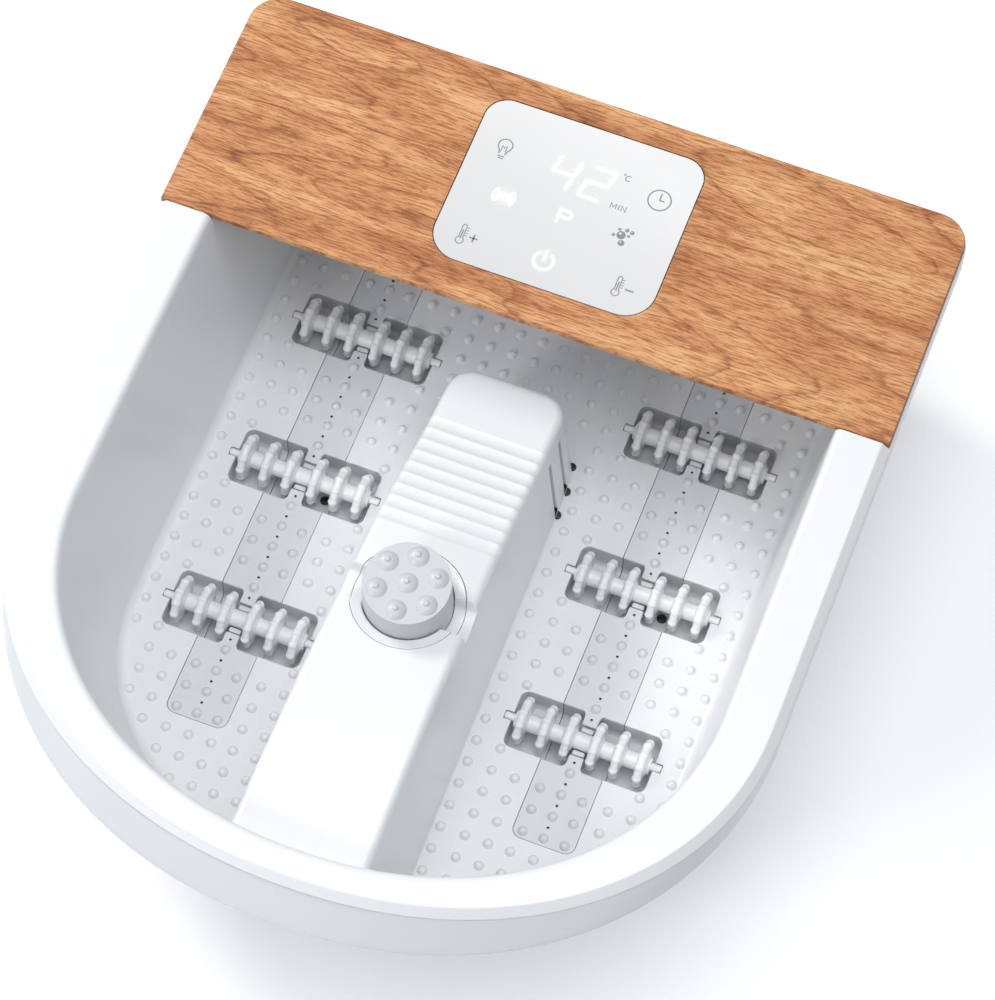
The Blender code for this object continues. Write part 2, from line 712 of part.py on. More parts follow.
def pocket_shapes(grow, bottom, top, corner):
    parts = []
    for _, _, x, y in pocket_centres():
        points = rounded_box(POCKET_LENGTH / 2 + grow, POCKET_WIDTH / 2 + grow, corner, (x, y))
        parts.append(prism(points, "z", bottom, top))
    return parts


def notch_shapes(grow, bottom, top):
    """Open bearings for the rollers' end pins, past both ends of each pocket."""
    parts = []
    reach = POCKET_LENGTH / 2 + NOTCH_REACH + grow
    for _, _, x, y in pocket_centres():
        half = NOTCH_WIDTH / 2 + grow
        parts.append(box((x - reach, y - half, bottom), (x + reach, y + half, top)))
    return parts


def dip_line(offset, start, end):
    """Side view of a strip: flat on the floor and down through each pocket."""
    flat = FLOOR_HEIGHT - offset
    low = FLOOR_HEIGHT - POCKET_DEPTH - offset
    points = [(start, flat)]
    for share in sorted(ROLLER_ROW_SHARES):
        front = row_y(share) - POCKET_WIDTH / 2 - offset
        back = row_y(share) + POCKET_WIDTH / 2 + offset
        points += [(front, flat), (front, low), (back, low), (back, flat)]
    return points + [(end, flat)]


def strip_plan(x, grow):
    """Plan of a strip, round at its two front corners."""
    half = STRIP_WIDTH / 2 + grow
    radius = STRIP_CORNER + grow
    points = [(x + half, STRIP_BACK + grow), (x - half, STRIP_BACK + grow)]
    for side, start in ((-1, math.pi), (1, math.pi * 1.5)):
        for i in range(CORNER_STEPS):
            a = start + math.pi / 2 * i / (CORNER_STEPS - 1)
            along = STRIP_FRONT - grow + radius + radius * math.sin(a)
            points.append((x + side * (half - radius) + radius * math.cos(a), along))
    return prism(points, "z", FLOOR_HEIGHT - POCKET_DEPTH - WALL * 2, FLOOR_HEIGHT + OVERRUN * 2)


def strip_screw_place(sign):
    return (sign * STRIP_X + STRIP_SCREW_X, row_y(ROLLER_ROW_SHARES[1]) + STRIP_SCREW_Y)


def trough(x, offset, half, ends, top):
    """A solid that follows a strip's side view up to a flat top."""
    start, end = STRIP_FRONT - ends, STRIP_BACK + ends
    points = dip_line(offset, start, end) + [(end, top), (start, top)]
    return prism(points, "x", x - half, x + half)


def dome(x, y):
    """A low massage dome, sunk a little into the floor."""
    base = FLOOR_HEIGHT - GAP
    bm = bmesh.new()
    foot = [bm.verts.new((px, py, base)) for px, py in circle(DOME_RADIUS, DOME_SIDES, (x, y))]
    tip = bm.verts.new((x, y, FLOOR_HEIGHT + DOME_RISE))
    bm.faces.new(foot)
    for i, vertex in enumerate(foot):
        bm.faces.new((vertex, foot[(i + 1) % DOME_SIDES], tip))
    return bm


def clear_of_pockets(x, y):
    for _, _, px, py in pocket_centres():
        dx = max(abs(x - px) - POCKET_LENGTH / 2 + POCKET_CORNER, 0)
        dy = max(abs(y - py) - POCKET_WIDTH / 2 + POCKET_CORNER, 0)
        if math.hypot(dx, dy) - POCKET_CORNER < DOME_SIDE_CLEAR:
            return False
    return True


def clear_of_strips(x, y):
    beside = abs(abs(x) - STRIP_X) - STRIP_WIDTH / 2 > DOME_SIDE_CLEAR
    return beside or y < STRIP_FRONT - DOME_SIDE_CLEAR


def clear_of_hump(x, y):
    """Beside the hump, or outside the round bare patch behind it."""
    patch = HUMP_END - HUMP_DRAFT
    if y > patch:
        return math.hypot(x, y - patch) > DOME_BACK_CLEAR
    return abs(x) > hump_half(y) + HUMP_DRAFT + DOME_RADIUS


def on_floor(x, y):
    half = FLOOR_HALF - DOME_WALL_CLEAR
    depth = CURVE_START - FLOOR_FRONT - DOME_WALL_CLEAR
    along = max(CURVE_START - y, 0) / depth
    return (abs(x) / half) ** CURVE_POWER + along ** CURVE_POWER < 1


def floor_domes():
    domes = []
    for row in DOME_ROWS:
        y = row_y(row)
        shares = DOME_FRONT_COLUMN_SHARES if y < STRIP_FRONT else DOME_COLUMN_SHARES
        for share in shares:
            for sign in (-1, 1):
                x = sign * share * COLUMN_PITCH
                free = clear_of_pockets(x, y) and clear_of_strips(x, y)
                if free and clear_of_hump(x, y) and on_floor(x, y):
                    domes.append(dome(x, y))
    return domes


def seat_surface(y):
    """Height of the sloping hump face in which the seat lies."""
    return FLOOR_HEIGHT + hump_height(y)


WELL_BOTTOM = FLOOR_HEIGHT + hump_height(SEAT_Y) - SEAT_WELL


def scoop_cutter(name):
    height = seat_surface(SEAT_Y) + SCOOP_RISE
    reach = HUMP_FRONT_HALF + HUMP_DRAFT + OVERRUN
    return guide(name, cylinder(SCOOP_RADIUS, "x", -reach, reach, (SEAT_Y, height)))


def hump_foot_half(y):
    """Half width of the hump's foot, also round its back corners."""
    start = HUMP_END - HUMP_PLAN_ROUND
    if y <= start:
        return hump_half(y) + HUMP_DRAFT
    radius = HUMP_PLAN_ROUND + HUMP_DRAFT
    return hump_half(HUMP_END) - HUMP_PLAN_ROUND + math.sqrt(radius ** 2 - (y - start) ** 2)


def vent_parts():
    """Round vents at the hump's foot on each side, and the thin groove over each."""
    holes, grooves = [], []
    for i in range(VENT_COUNT):
        y = VENT_FIRST + VENT_PITCH * i
        height = FLOOR_HEIGHT + VENT_HEIGHT
        foot = hump_foot_half(y)
        rise = hump_height(y)
        for sign in (-1, 1):
            wall = foot - HUMP_DRAFT * VENT_HEIGHT / rise
            ends = sorted((sign * (wall - VENT_DEPTH), sign * (wall + OVERRUN)))
            holes.append(cylinder(VENT_RADIUS, "x", *ends, (y, height), 8))
            half = VENT_GROOVE_WIDTH / 2
            top_wall = foot - HUMP_DRAFT * VENT_GROOVE_TOP / rise
            deep, shallow = VENT_GROOVE_DEPTH, OVERRUN
            side = [
                (sign * (wall - deep), height),
                (sign * (wall + shallow), height),
                (sign * (top_wall + shallow), FLOOR_HEIGHT + VENT_GROOVE_TOP),
                (sign * (top_wall - deep), FLOOR_HEIGHT + VENT_GROOVE_TOP),
            ]
            grooves.append(prism(side, "y", y - half, y + half))
    return guide("vent_holes", merged(*holes)), guide("vent_grooves", merged(*grooves))


def post_places():
    for side, sign in SIDES:
        for end, y in (("front", POST_FRONT_Y), ("back", POST_BACK_Y)):
            yield f"{end}_{side}", sign * POST_X, y


def make_basin():
    basin = add("basin", basin_shell(), "white_plastic")
    outer, hollow = hump_parts()
    channel = STRIP_PLATE + CHANNEL_DEPTH
    floor_under = FLOOR_HEIGHT - WALL
    cup = FLOOR_HEIGHT - POCKET_DEPTH
    notch = AXIS_HEIGHT - PIN_RADIUS - PIN_CLEAR
    strip_half = STRIP_WIDTH / 2
    inside_floor = FLOOR_HEIGHT - WALL / 2
    over = FLOOR_HEIGHT + OVERRUN

    cups = pocket_shapes(WALL, cup - WALL, inside_floor, POCKET_CORNER + WALL)
    cups_guide = guide("pocket_cups", merged(*cups))
    notch_cups = guide("notch_cups", merged(*notch_shapes(WALL, notch - WALL, inside_floor)))
    join(basin, outer, cups_guide, notch_cups)
    for side, sign in SIDES:
        x = sign * STRIP_X
        outside = trough(x, channel + WALL, strip_half + GAP + WALL, WALL + GAP, inside_floor)
        spigot_height = FLOOR_HEIGHT - SPIGOT_DROP
        spigot_ends = (STRIP_BACK - CHANNEL_LEDGE * 2, SPIGOT_END)
        spigot = cylinder(SPIGOT_RADIUS, "y", *spigot_ends, (x, spigot_height), 12)
        join(basin, guide(f"trough_{side}", outside), guide(f"spigot_{side}", spigot))
    bosses = []
    for _, x, y in post_places():
        bosses.append(cylinder(BOSS_RADIUS, "z", floor_under - BOSS_LENGTH, inside_floor, (x, y), 12))
    join(basin, guide("bosses", merged(*bosses)))
    cut(basin, hollow)
    well_outer = SEAT_RADIUS + GAP + WALL
    boss_top = seat_surface(SEAT_Y + SEAT_RADIUS) - WALL / 2
    well_boss = cylinder(well_outer, "z", WELL_BOTTOM - SEAT_FLOOR, boss_top, (0, SEAT_Y), 24)
    join(basin, guide("well_boss", well_boss))

    well = cylinder(SEAT_RADIUS + GAP, "z", WELL_BOTTOM, seat_surface(SEAT_Y) + SEAT_WELL, (0, SEAT_Y), 24)
    cut(basin, guide("well", well), scoop_cutter("basin_scoop"))
    pockets = pocket_shapes(0.0, cup, over, POCKET_CORNER)
    notches = notch_shapes(0.0, notch, over)
    cut(basin, guide("pockets", merged(*pockets)), guide("notches", merged(*notches)))
    for side, sign in SIDES:
        x = sign * STRIP_X
        recess = guide(f"recess_{side}", trough(x, STRIP_PLATE + GAP, strip_half + GAP, GAP, over))
        combine(recess, guide(f"recess_plan_{side}", strip_plan(x, GAP)), "INTERSECT")
        duct = trough(x, channel, strip_half - CHANNEL_LEDGE, -CHANNEL_LEDGE, FLOOR_HEIGHT - GAP)
        bore_ends = (STRIP_BACK - CHANNEL_LEDGE * 2, SPIGOT_END + OVERRUN)
        bore = cylinder(SPIGOT_BORE, "y", *bore_ends, (x, FLOOR_HEIGHT - SPIGOT_DROP), 8)
        cut(basin, recess, guide(f"duct_{side}", duct), guide(f"bore_{side}", bore))
    pilots = []
    for _, x, y in post_places():
        low = floor_under - BOSS_LENGTH - OVERRUN
        pilots.append(cylinder(SCREW_RADIUS + SCREW_CLEAR, "z", low, floor_under - WALL / 2, (x, y), 8))
    for _, sign in SIDES:
        low = cup - STRIP_SCREW_LENGTH - SCREW_CLEAR
        place = strip_screw_place(sign)
        pilots.append(cylinder(SCREW_RADIUS + SCREW_CLEAR, "z", low, cup, place, 8))
    cut(basin, guide("boss_pilots", merged(*pilots)), *vent_parts())
    cut(basin, guide("tray_notch", tray_box(GAP)))
    join(basin, guide("domes", merged(*floor_domes())))
    return basin


def tray_box(grow):
    half = PANEL_WIDTH / 2 + TRAY_MARGIN + grow
    low = HEIGHT - COVER_THICKNESS - TRAY_DEPTH - grow
    high = HEIGHT - COVER_THICKNESS - GAP + (OVERRUN if grow else 0)
    return box((-half, PANEL_Y0 - TRAY_MARGIN - grow, low), (half, PANEL_Y1 + TRAY_MARGIN + grow, high))


def make_outer_shell():
    """Tapered outer shell, open at the top and bottom, with a turned-in foot."""
    deck = HEIGHT - DECK_DROP
    top, back_top = HEIGHT - COLLAR - COLLAR_LIP - GAP, deck - WALL - GAP
    shoulder = HEIGHT - SHOULDER_DROP
    foot = SHELL_BOTTOM
    bend = between(SHELL_FOOT, SHOULDER, SHELL_ROUND / (shoulder - foot))
    rings = [
        ring(outline(SEAM), top, back_top),
        ring(outline(SHOULDER), shoulder + SHOULDER_BAND / 2),
        ring(outline(SHOULDER), shoulder - SHOULDER_BAND / 2),
        ring(outline(bend), foot + SHELL_ROUND),
        ring(outline(SHELL_FOOT, SHELL_ROUND * ROUND_SHARE), foot + SHELL_ROUND * ROUND_SHARE),
        ring(outline(SHELL_FOOT, SHELL_ROUND), foot),
        ring(outline(SHELL_FOOT, SHELL_ROUND + SHELL_FLANGE), foot),
        ring(outline(SHELL_FOOT, SHELL_ROUND + SHELL_FLANGE), foot + WALL),
        ring(outline(SHELL_FOOT, SHELL_ROUND), foot + WALL),
        ring(outline(bend, WALL), foot + SHELL_ROUND),
        ring(outline(SHOULDER, WALL), shoulder - SHOULDER_BAND / 2),
        ring(outline(SHOULDER, WALL), shoulder + SHOULDER_BAND / 2),
        ring(outline(SEAM, WALL), top, back_top),
    ]
    shell = add("outer_shell", loft(rings, closed=True), "white_plastic")
    hole = gland_cylinder(GLAND_RADIUS + GAP, -GLAND_LENGTH - OVERRUN, GLAND_LENGTH)
    cut(shell, guide("gland_hole", hole))
    return shell


def shell_back(height):
    """Outer face of the shell's back wall at a height."""
    share = (HEIGHT - SHOULDER_DROP - height) / (HEIGHT - SHOULDER_DROP - SHELL_BOTTOM)
    return BACK - SHELL_BACK_DRAFT * share


def gland_cylinder(radius, low, high, count=16):
    """A bar square to the sloping back wall, measured outwards from its outer face."""
    bm = cylinder(radius, "y", low, high, (0, 0), count)
    slope = math.atan2(SHELL_BACK_DRAFT, HEIGHT - SHOULDER_DROP - SHELL_BOTTOM)
    place = Matrix.Translation((GLAND_X, shell_back(GLAND_HEIGHT), GLAND_HEIGHT))
    bm.transform(place @ Matrix.Rotation(-slope, 4, "X"))
    return bm


def make_cord_gland():
    gland = add("cord_gland", gland_cylinder(GLAND_RADIUS, -GLAND_LENGTH, GAP * 2), "black_plastic")
    flange = gland_cylinder(GLAND_FLANGE, GAP, GAP + GLAND_FLANGE_THICKNESS)
    join(gland, guide("gland_flange", flange))
    cut(gland, guide("gland_bore", gland_cylinder(GLAND_BORE, -GLAND_LENGTH - OVERRUN, GLAND_LENGTH, 12)))


def make_base_cover():
    """Bottom plate with foot holes, screw posts, a blower seat and board rails."""
    plate = [
        ring(outline(SHELL_FOOT, SHELL_ROUND), BASE_HEIGHT),
        ring(outline(SHELL_FOOT, SHELL_ROUND), BASE_HEIGHT + WALL),
    ]
    cover = add("base_cover", loft(plate), "white_plastic")
    top = BASE_HEIGHT + WALL
    inside = BASE_HEIGHT + WALL / 2
    floor_under = FLOOR_HEIGHT - WALL
    posts, bores, heads = [], [], []
    bore = SCREW_RADIUS + SCREW_CLEAR
    head = SCREW_HEAD + SCREW_CLEAR
    recess = BASE_HEIGHT + SCREW_HEAD_HEIGHT + SCREW_CLEAR * 2
    post_top = FLOOR_HEIGHT - WALL - BOSS_LENGTH - GAP
    for _, x, y in post_places():
        posts.append(cylinder(POST_RADIUS, "z", inside, post_top, (x, y), 12))
        bores.append(cylinder(bore, "z", BASE_HEIGHT, post_top + OVERRUN, (x, y), 8))
        heads.append(cylinder(head, "z", BASE_HEIGHT - OVERRUN, recess, (x, y), 10))
    rest_top = MANIFOLD_HEIGHT - MANIFOLD_RADIUS - GAP
    half = MANIFOLD_REST / 2
    for sign in (-1, 1):
        x = sign * MANIFOLD_REST_X
        posts.append(box((x - half, MANIFOLD_Y - half, inside), (x + half, MANIFOLD_Y + half, rest_top)))
        x = POWER_X + sign * (POWER_HALF - RAIL_WIDTH / 2 + WALL)
        low = (x - RAIL_WIDTH / 2, POWER_Y - RAIL_DEPTH / 2, inside)
        posts.append(box(low, (x + RAIL_WIDTH / 2, POWER_Y + RAIL_DEPTH / 2, top + RAIL_HEIGHT)))
    join(cover, guide("posts_and_rails", merged(*posts)))
    ends = (BASE_HEIGHT - OVERRUN, top + OVERRUN)
    holes = [cylinder(FOOT_STEM + GAP, "z", *ends, place, 10) for _, *place in foot_places()]
    half = BOARD_THICKNESS / 2 + GAP
    low = (POWER_X - POWER_HALF - GAP, POWER_Y - half, top + GAP)
    slot = box(low, (POWER_X + POWER_HALF + GAP, POWER_Y + half, top + POWER_HEIGHT))
    cut(cover, guide("post_bores", merged(*bores)), guide("screw_heads", merged(*heads)))
    cut(cover, guide("foot_holes", merged(*holes)), guide("rail_slot", slot))


def foot_places():
    for side, sign in SIDES:
        for end, y in (("front", FOOT_FRONT_Y), ("back", FOOT_BACK_Y)):
            yield f"{end}_{side}", sign * FOOT_X, y


def make_feet():
    for name, x, y in foot_places():
        profile = [
            (FOOT_RADIUS - FOOT_CHAMFER, 0),
            (FOOT_RADIUS, FOOT_CHAMFER),
            (FOOT_RADIUS, BASE_HEIGHT - GAP),
            (FOOT_STEM, BASE_HEIGHT - GAP),
            (FOOT_STEM, BASE_HEIGHT + WALL),
        ]
        add(f"foot_{name}", turned(profile, (x, y)), "dark_rubber")


def make_base_screws():
    for name, x, y in post_places():
        bottom = BASE_HEIGHT + SCREW_CLEAR
        shoulder = bottom + SCREW_HEAD_HEIGHT
        tip = FLOOR_HEIGHT - WALL * 2
        profile = [
            (SCREW_HEAD, bottom),
            (SCREW_HEAD, shoulder),
            (SCREW_RADIUS, shoulder),
            (SCREW_RADIUS, tip - SCREW_RADIUS),
            (SCREW_RADIUS * ROUND_SHARE, tip),
        ]
        add(f"base_screw_{name}", turned(profile, (x, y), 10), "steel")


def cover_outline(inset, front):
    half, back = HALF - COVER_INSET - inset, BACK - COVER_INSET - inset
    radius = BACK_CORNER - COVER_INSET - inset
    return [(-half, front), *back_arcs(half, back, radius, CORNER_STEPS + 1), (half, front)]


def panel_outline(inset, height):
    corners = (PANEL_FRONT_CORNER - inset, PANEL_BACK_CORNER - inset)
    centre = (0, (PANEL_Y0 + PANEL_Y1) / 2)
    points = rounded_box(PANEL_WIDTH / 2 - inset, PANEL_DEPTH / 2 - inset, corners, centre, 5)
    return [(x, y, height) for x, y in points]


def make_wood_cover():
    low, high = COVER_TOP - COVER_THICKNESS, COVER_TOP
    front = COVER_FRONT + GAP

    def level(inset, height):
        return [(x, y, height) for x, y in cover_outline(inset, front + inset)]

    edge = COVER_EDGE
    rings = [level(edge / 2, low), level(0, low + edge / 2), level(0, high - edge), level(edge, high)]
    cover = add("wood_cover", loft(rings), "wood_look")
    ledge = low + PANEL_LEDGE_THICKNESS
    seat = loft([panel_outline(-GAP, ledge), panel_outline(-GAP, high + OVERRUN)])
    window = loft([panel_outline(PANEL_LEDGE, low - OVERRUN), panel_outline(PANEL_LEDGE, high)])
    cut(cover, guide("panel_seat", seat), guide("panel_window", window))
    return cover


def make_touch_panel():
    low = COVER_TOP - COVER_THICKNESS + PANEL_LEDGE_THICKNESS + GAP
    high = COVER_TOP - PANEL_RECESS
    edge = PANEL_RECESS * 2
    rings = [panel_outline(0, low), panel_outline(0, high - edge), panel_outline(edge, high)]
    add("touch_panel", loft(rings), "panel_glass")


def make_control_housing():
    """Tray under the cover that carries the display board on four posts."""
    tray = add("control_housing", tray_box(0), "white_plastic")
    half = PANEL_WIDTH / 2 + TRAY_MARGIN - TRAY_WALL
    low = HEIGHT - COVER_THICKNESS - TRAY_DEPTH + TRAY_WALL
    front, back = PANEL_Y0 - TRAY_MARGIN + TRAY_WALL, PANEL_Y1 + TRAY_MARGIN - TRAY_WALL
    cut(tray, guide("tray_hollow", box((-half, front, low), (half, back, HEIGHT))))
    posts = []
    for x, y in display_corners():
        posts.append(cylinder(DISPLAY_POST, "z", low - TRAY_WALL / 2, low + DISPLAY_LIFT - GAP, (x, y), 8))
    join(tray, guide("display_posts", merged(*posts)))
    half = RIBBON_WIDTH / 2 + GAP * 2
    slot_low = (RIBBON_X - half, RIBBON_Y - RIBBON_THICKNESS - GAP * 2, low - TRAY_WALL - OVERRUN)
    slot_high = (RIBBON_X + half, RIBBON_Y + GAP * 2, low + OVERRUN)
    cut(tray, guide("ribbon_slot", box(slot_low, slot_high)))


def display_corners():
    middle = (PANEL_Y0 + PANEL_Y1) / 2
    for x in (-DISPLAY_POST_X, DISPLAY_POST_X):
        for y in (middle - DISPLAY_POST_Y, middle + DISPLAY_POST_Y):
            yield x, y


def make_display():
    low = DISPLAY_BOTTOM
    half = PANEL_WIDTH / 2 - DISPLAY_MARGIN
    front, back = PANEL_Y0 + DISPLAY_MARGIN, PANEL_Y1 - DISPLAY_MARGIN
    top = low + BOARD_THICKNESS
    add("display_board", box((-half, front, low), (half, back, top)), "circuit_board")
    glass = COVER_TOP - COVER_THICKNESS + PANEL_LEDGE_THICKNESS
    middle = back - DIGITS_DEPTH
    low_corner = (-DIGITS_WIDTH / 2, middle - DIGITS_DEPTH / 2, top + GAP)
    high_corner = (DIGITS_WIDTH / 2, middle + DIGITS_DEPTH / 2, glass)
    add("digit_display", box(low_corner, high_corner), "black_plastic")


def make_strip(side, sign):
    """Cover plate of one air channel, with roller dips, clips, domes and air holes."""
    x = sign * STRIP_X
    half = STRIP_WIDTH / 2
    upper = dip_line(0.0, STRIP_FRONT, STRIP_BACK)
    lower = dip_line(STRIP_PLATE, STRIP_FRONT, STRIP_BACK)
    strip = add(f"strip_{side}", prism(upper + lower[::-1], "x", x - half, x + half), "pale_grey_plastic")
    combine(strip, guide(f"plan_{side}", strip_plan(x, 0)), "INTERSECT")
    extras = []
    dip_floor = FLOOR_HEIGHT - POCKET_DEPTH
    for share in ROLLER_ROW_SHARES:
        for way in (-1, 1):
            edge = row_y(share) + way * (POCKET_WIDTH / 2 + STRIP_PLATE / 2)
            tip = row_y(share) + way * TONGUE_TIP
            low = (x - TONGUE_WIDTH / 2, min(edge, tip), FLOOR_HEIGHT - STRIP_PLATE)
            high = (x + TONGUE_WIDTH / 2, max(edge, tip), FLOOR_HEIGHT)
            extras.append(box(low, high))
            inner = row_y(share) + way * (SHAFT_RADIUS + CLIP_CLEAR)
            outer = inner + way * CLIP_THICKNESS
            low = (x - CLIP_WIDTH / 2, min(inner, outer), dip_floor - STRIP_PLATE / 2)
            high = (x + CLIP_WIDTH / 2, max(inner, outer), FLOOR_HEIGHT - CLIP_DROP)
            extras.append(box(low, high))
    domes = [dome(x, row_y(row)) for row in STRIP_SINGLE_ROWS]
    for row in STRIP_TRIPLE_ROWS:
        domes += [dome(x + way * STRIP_DOME_OFFSET, row_y(row)) for way in (-1, 0, 1)]
    join(strip, guide(f"clips_{side}", merged(*extras)), guide(f"strip_domes_{side}", merged(*domes)))
    holes = []
    low, high = FLOOR_HEIGHT - STRIP_PLATE - OVERRUN / 2, FLOOR_HEIGHT + OVERRUN
    for share in AIR_HOLE_ROW_SHARES:
        if share not in ROLLER_ROW_SHARES:
            holes.append(cylinder(AIR_HOLE_RADIUS, "z", low, high, (x, row_y(share)), 6))
    cut(strip, guide(f"air_holes_{side}", merged(*holes)))
    place = strip_screw_place(sign)
    ends = (dip_floor - STRIP_PLATE * 2, dip_floor + OVERRUN)
    screw_hole = cylinder(SCREW_RADIUS + SCREW_CLEAR, "z", *ends, place, 8)
    cut(strip, guide(f"screw_hole_{side}", screw_hole))


def make_strip_screw(side, sign):
    seat = FLOOR_HEIGHT - POCKET_DEPTH + GAP
    tip = seat - STRIP_SCREW_LENGTH
    profile = [
        (SCREW_RADIUS * ROUND_SHARE, tip),
        (SCREW_RADIUS, tip + SCREW_RADIUS * ROUND_SHARE),
        (SCREW_RADIUS, seat),
        (STRIP_SCREW_HEAD, seat),
        (STRIP_SCREW_HEAD, seat + STRIP_SCREW_HEAD_HEIGHT),
    ]
    add(f"strip_screw_{side}", turned(profile, strip_screw_place(sign), 10), "black_plastic")


def set_origin(obj, point):
    """Move an object's origin to its joint's axis and keep its shape in place."""
    obj.data.transform(Matrix.Translation(-Vector(point)))
    obj.location = point


def make_seat():
    """Ring that lines the well, with finger scoops and a socket for the attachment."""
    bottom = WELL_BOTTOM + GAP
    rim = circle(SEAT_RADIUS, 24, (0, SEAT_Y))
    lower = [(x, y, bottom) for x, y in rim]
    upper = [(x, y, seat_surface(y)) for x, y in rim]
    seat = add("attachment_seat", loft([lower, upper]), "white_plastic")
    inner = PUCK_RADIUS + PUCK_CLEAR + SEAT_FUNNEL_EDGE
    levels = ((inner, -SEAT_FUNNEL_DROP), (SEAT_FUNNEL_RADIUS, 0), (SEAT_FUNNEL_RADIUS, OVERRUN))
    funnel = []
    for radius, rise in levels:
        funnel.append([(x, y, seat_surface(y) + rise) for x, y in circle(radius, 24, (0, SEAT_Y))])
    top = seat_surface(SEAT_Y) + SEAT_WELL
    socket = cylinder(PUCK_RADIUS + PUCK_CLEAR, "z", bottom + SEAT_FLOOR, top, (0, SEAT_Y), 24)
    cut(seat, guide("seat_funnel", loft(funnel)), guide("seat_socket", socket))
    cut(seat, scoop_cutter("seat_scoop"))


def mound_profile(level):
    """Outline of one mound from its sunk foot, over its round side, to the flat of its nub."""
    return [
        (MOUND_RADIUS, level - MOUND_RISE),
        (MOUND_RADIUS, level),
        (MOUND_RADIUS * MOUND_SHOULDER_SHARE, level + MOUND_RISE * MOUND_SHOULDER_RISE_SHARE),
        (NUB_RADIUS, level + MOUND_RISE),
        (NUB_RADIUS * NUB_TIP_SHARE, level + MOUND_RISE + NUB_RISE),
    ]


def make_attachment():
    """Lift-off massage attachment with seven nubbed mounds on its top."""
    bottom = WELL_BOTTOM + GAP + SEAT_FLOOR + GAP
    top = seat_surface(SEAT_Y) + PUCK_RISE
    profile = [
        (PUCK_RADIUS - PUCK_EDGE, bottom),
        (PUCK_RADIUS, bottom + PUCK_EDGE),
        (PUCK_RADIUS - PUCK_TAPER, top - PUCK_EDGE),
        (PUCK_RADIUS - PUCK_TAPER - PUCK_EDGE, top),
    ]
    puck = add("massage_attachment", turned(profile, (0, SEAT_Y), 24), "pale_grey_plastic")
    places = [(0, SEAT_Y)]
    places += circle(MOUND_RING, MOUND_COUNT - 1, (0, SEAT_Y))
    mounds = []
    for place in places:
        mounds.append(turned(mound_profile(top), place, 10))
    join(puck, guide("mounds", merged(*mounds)))
    set_origin(puck, (0, SEAT_Y, bottom))


def make_roller(name, x, y):
    """A shaft with six nubbed discs and an end pin on each side, built about its axis."""
    pin_end = POCKET_LENGTH / 2 + NOTCH_REACH - GAP
    shaft_end = DISC_FIRST + DISC_STEP * (DISC_PAIRS - 1)
    centre = (y, AXIS_HEIGHT)
    shaft = cylinder(SHAFT_RADIUS, "x", x - shaft_end, x + shaft_end, centre, SHAFT_SIDES)
    roller = add(name, shaft, "roller_plastic")
    rim = []
    for i in range(ROLLER_NUBS * 2):
        a = math.pi * i / ROLLER_NUBS
        radius = ROLLER_VALLEY if i % 2 else ROLLER_TIP
        rim.append((y + radius * math.cos(a), AXIS_HEIGHT + radius * math.sin(a)))
    discs = []
    for pair in range(DISC_PAIRS):
        for sign in (-1, 1):
            middle = x + sign * (DISC_FIRST + DISC_STEP * pair)
            discs.append(prism(rim, "x", middle - DISC_THICKNESS / 2, middle + DISC_THICKNESS / 2))
    pins = cylinder(PIN_RADIUS, "x", x - pin_end, x + pin_end, centre, SHAFT_SIDES)
    join(roller, guide(f"discs_{name}", merged(*discs)), guide(f"pins_{name}", pins))
    set_origin(roller, (x, y, AXIS_HEIGHT))


def make_heaters():
    """Flat heaters, the thermal cut-out, the sensor and the lamp, all under the tub's skin."""
    top = FLOOR_HEIGHT - WALL - GAP
    for side, sign in SIDES:
        x = sign * HEATER_X
        low = (x - HEATER_HALF_WIDTH, HEATER_Y - HEATER_HALF_LENGTH, top - HEATER_THICKNESS)
        high = (x + HEATER_HALF_WIDTH, HEATER_Y + HEATER_HALF_LENGTH, top)
        add(f"heater_{side}", box(low, high), "aluminium")
    high = top - HEATER_THICKNESS - GAP
    cutout = cylinder(CUTOUT_RADIUS, "z", high - CUTOUT_HEIGHT, high, (HEATER_X, HEATER_Y), 12)
    add("thermal_cutout", cutout, "black_plastic")
    sensor = cylinder(SENSOR_RADIUS, "z", top - SENSOR_LENGTH, top, (0, SENSOR_Y), 10)
    add("temperature_sensor", sensor, "steel")
    led_top = WELL_BOTTOM - SEAT_FLOOR - GAP
    high = led_top - LAMP_LED_HEIGHT
    disc = cylinder(LAMP_RADIUS, "z", high - BOARD_THICKNESS, high, (0, SEAT_Y))
    lamp = add("lamp_board", disc, "circuit_board")
    led = cylinder(LAMP_LED_RADIUS, "z", high - BOARD_THICKNESS / 2, led_top, (0, SEAT_Y), 8)
    join(lamp, guide("lamp_led", led))


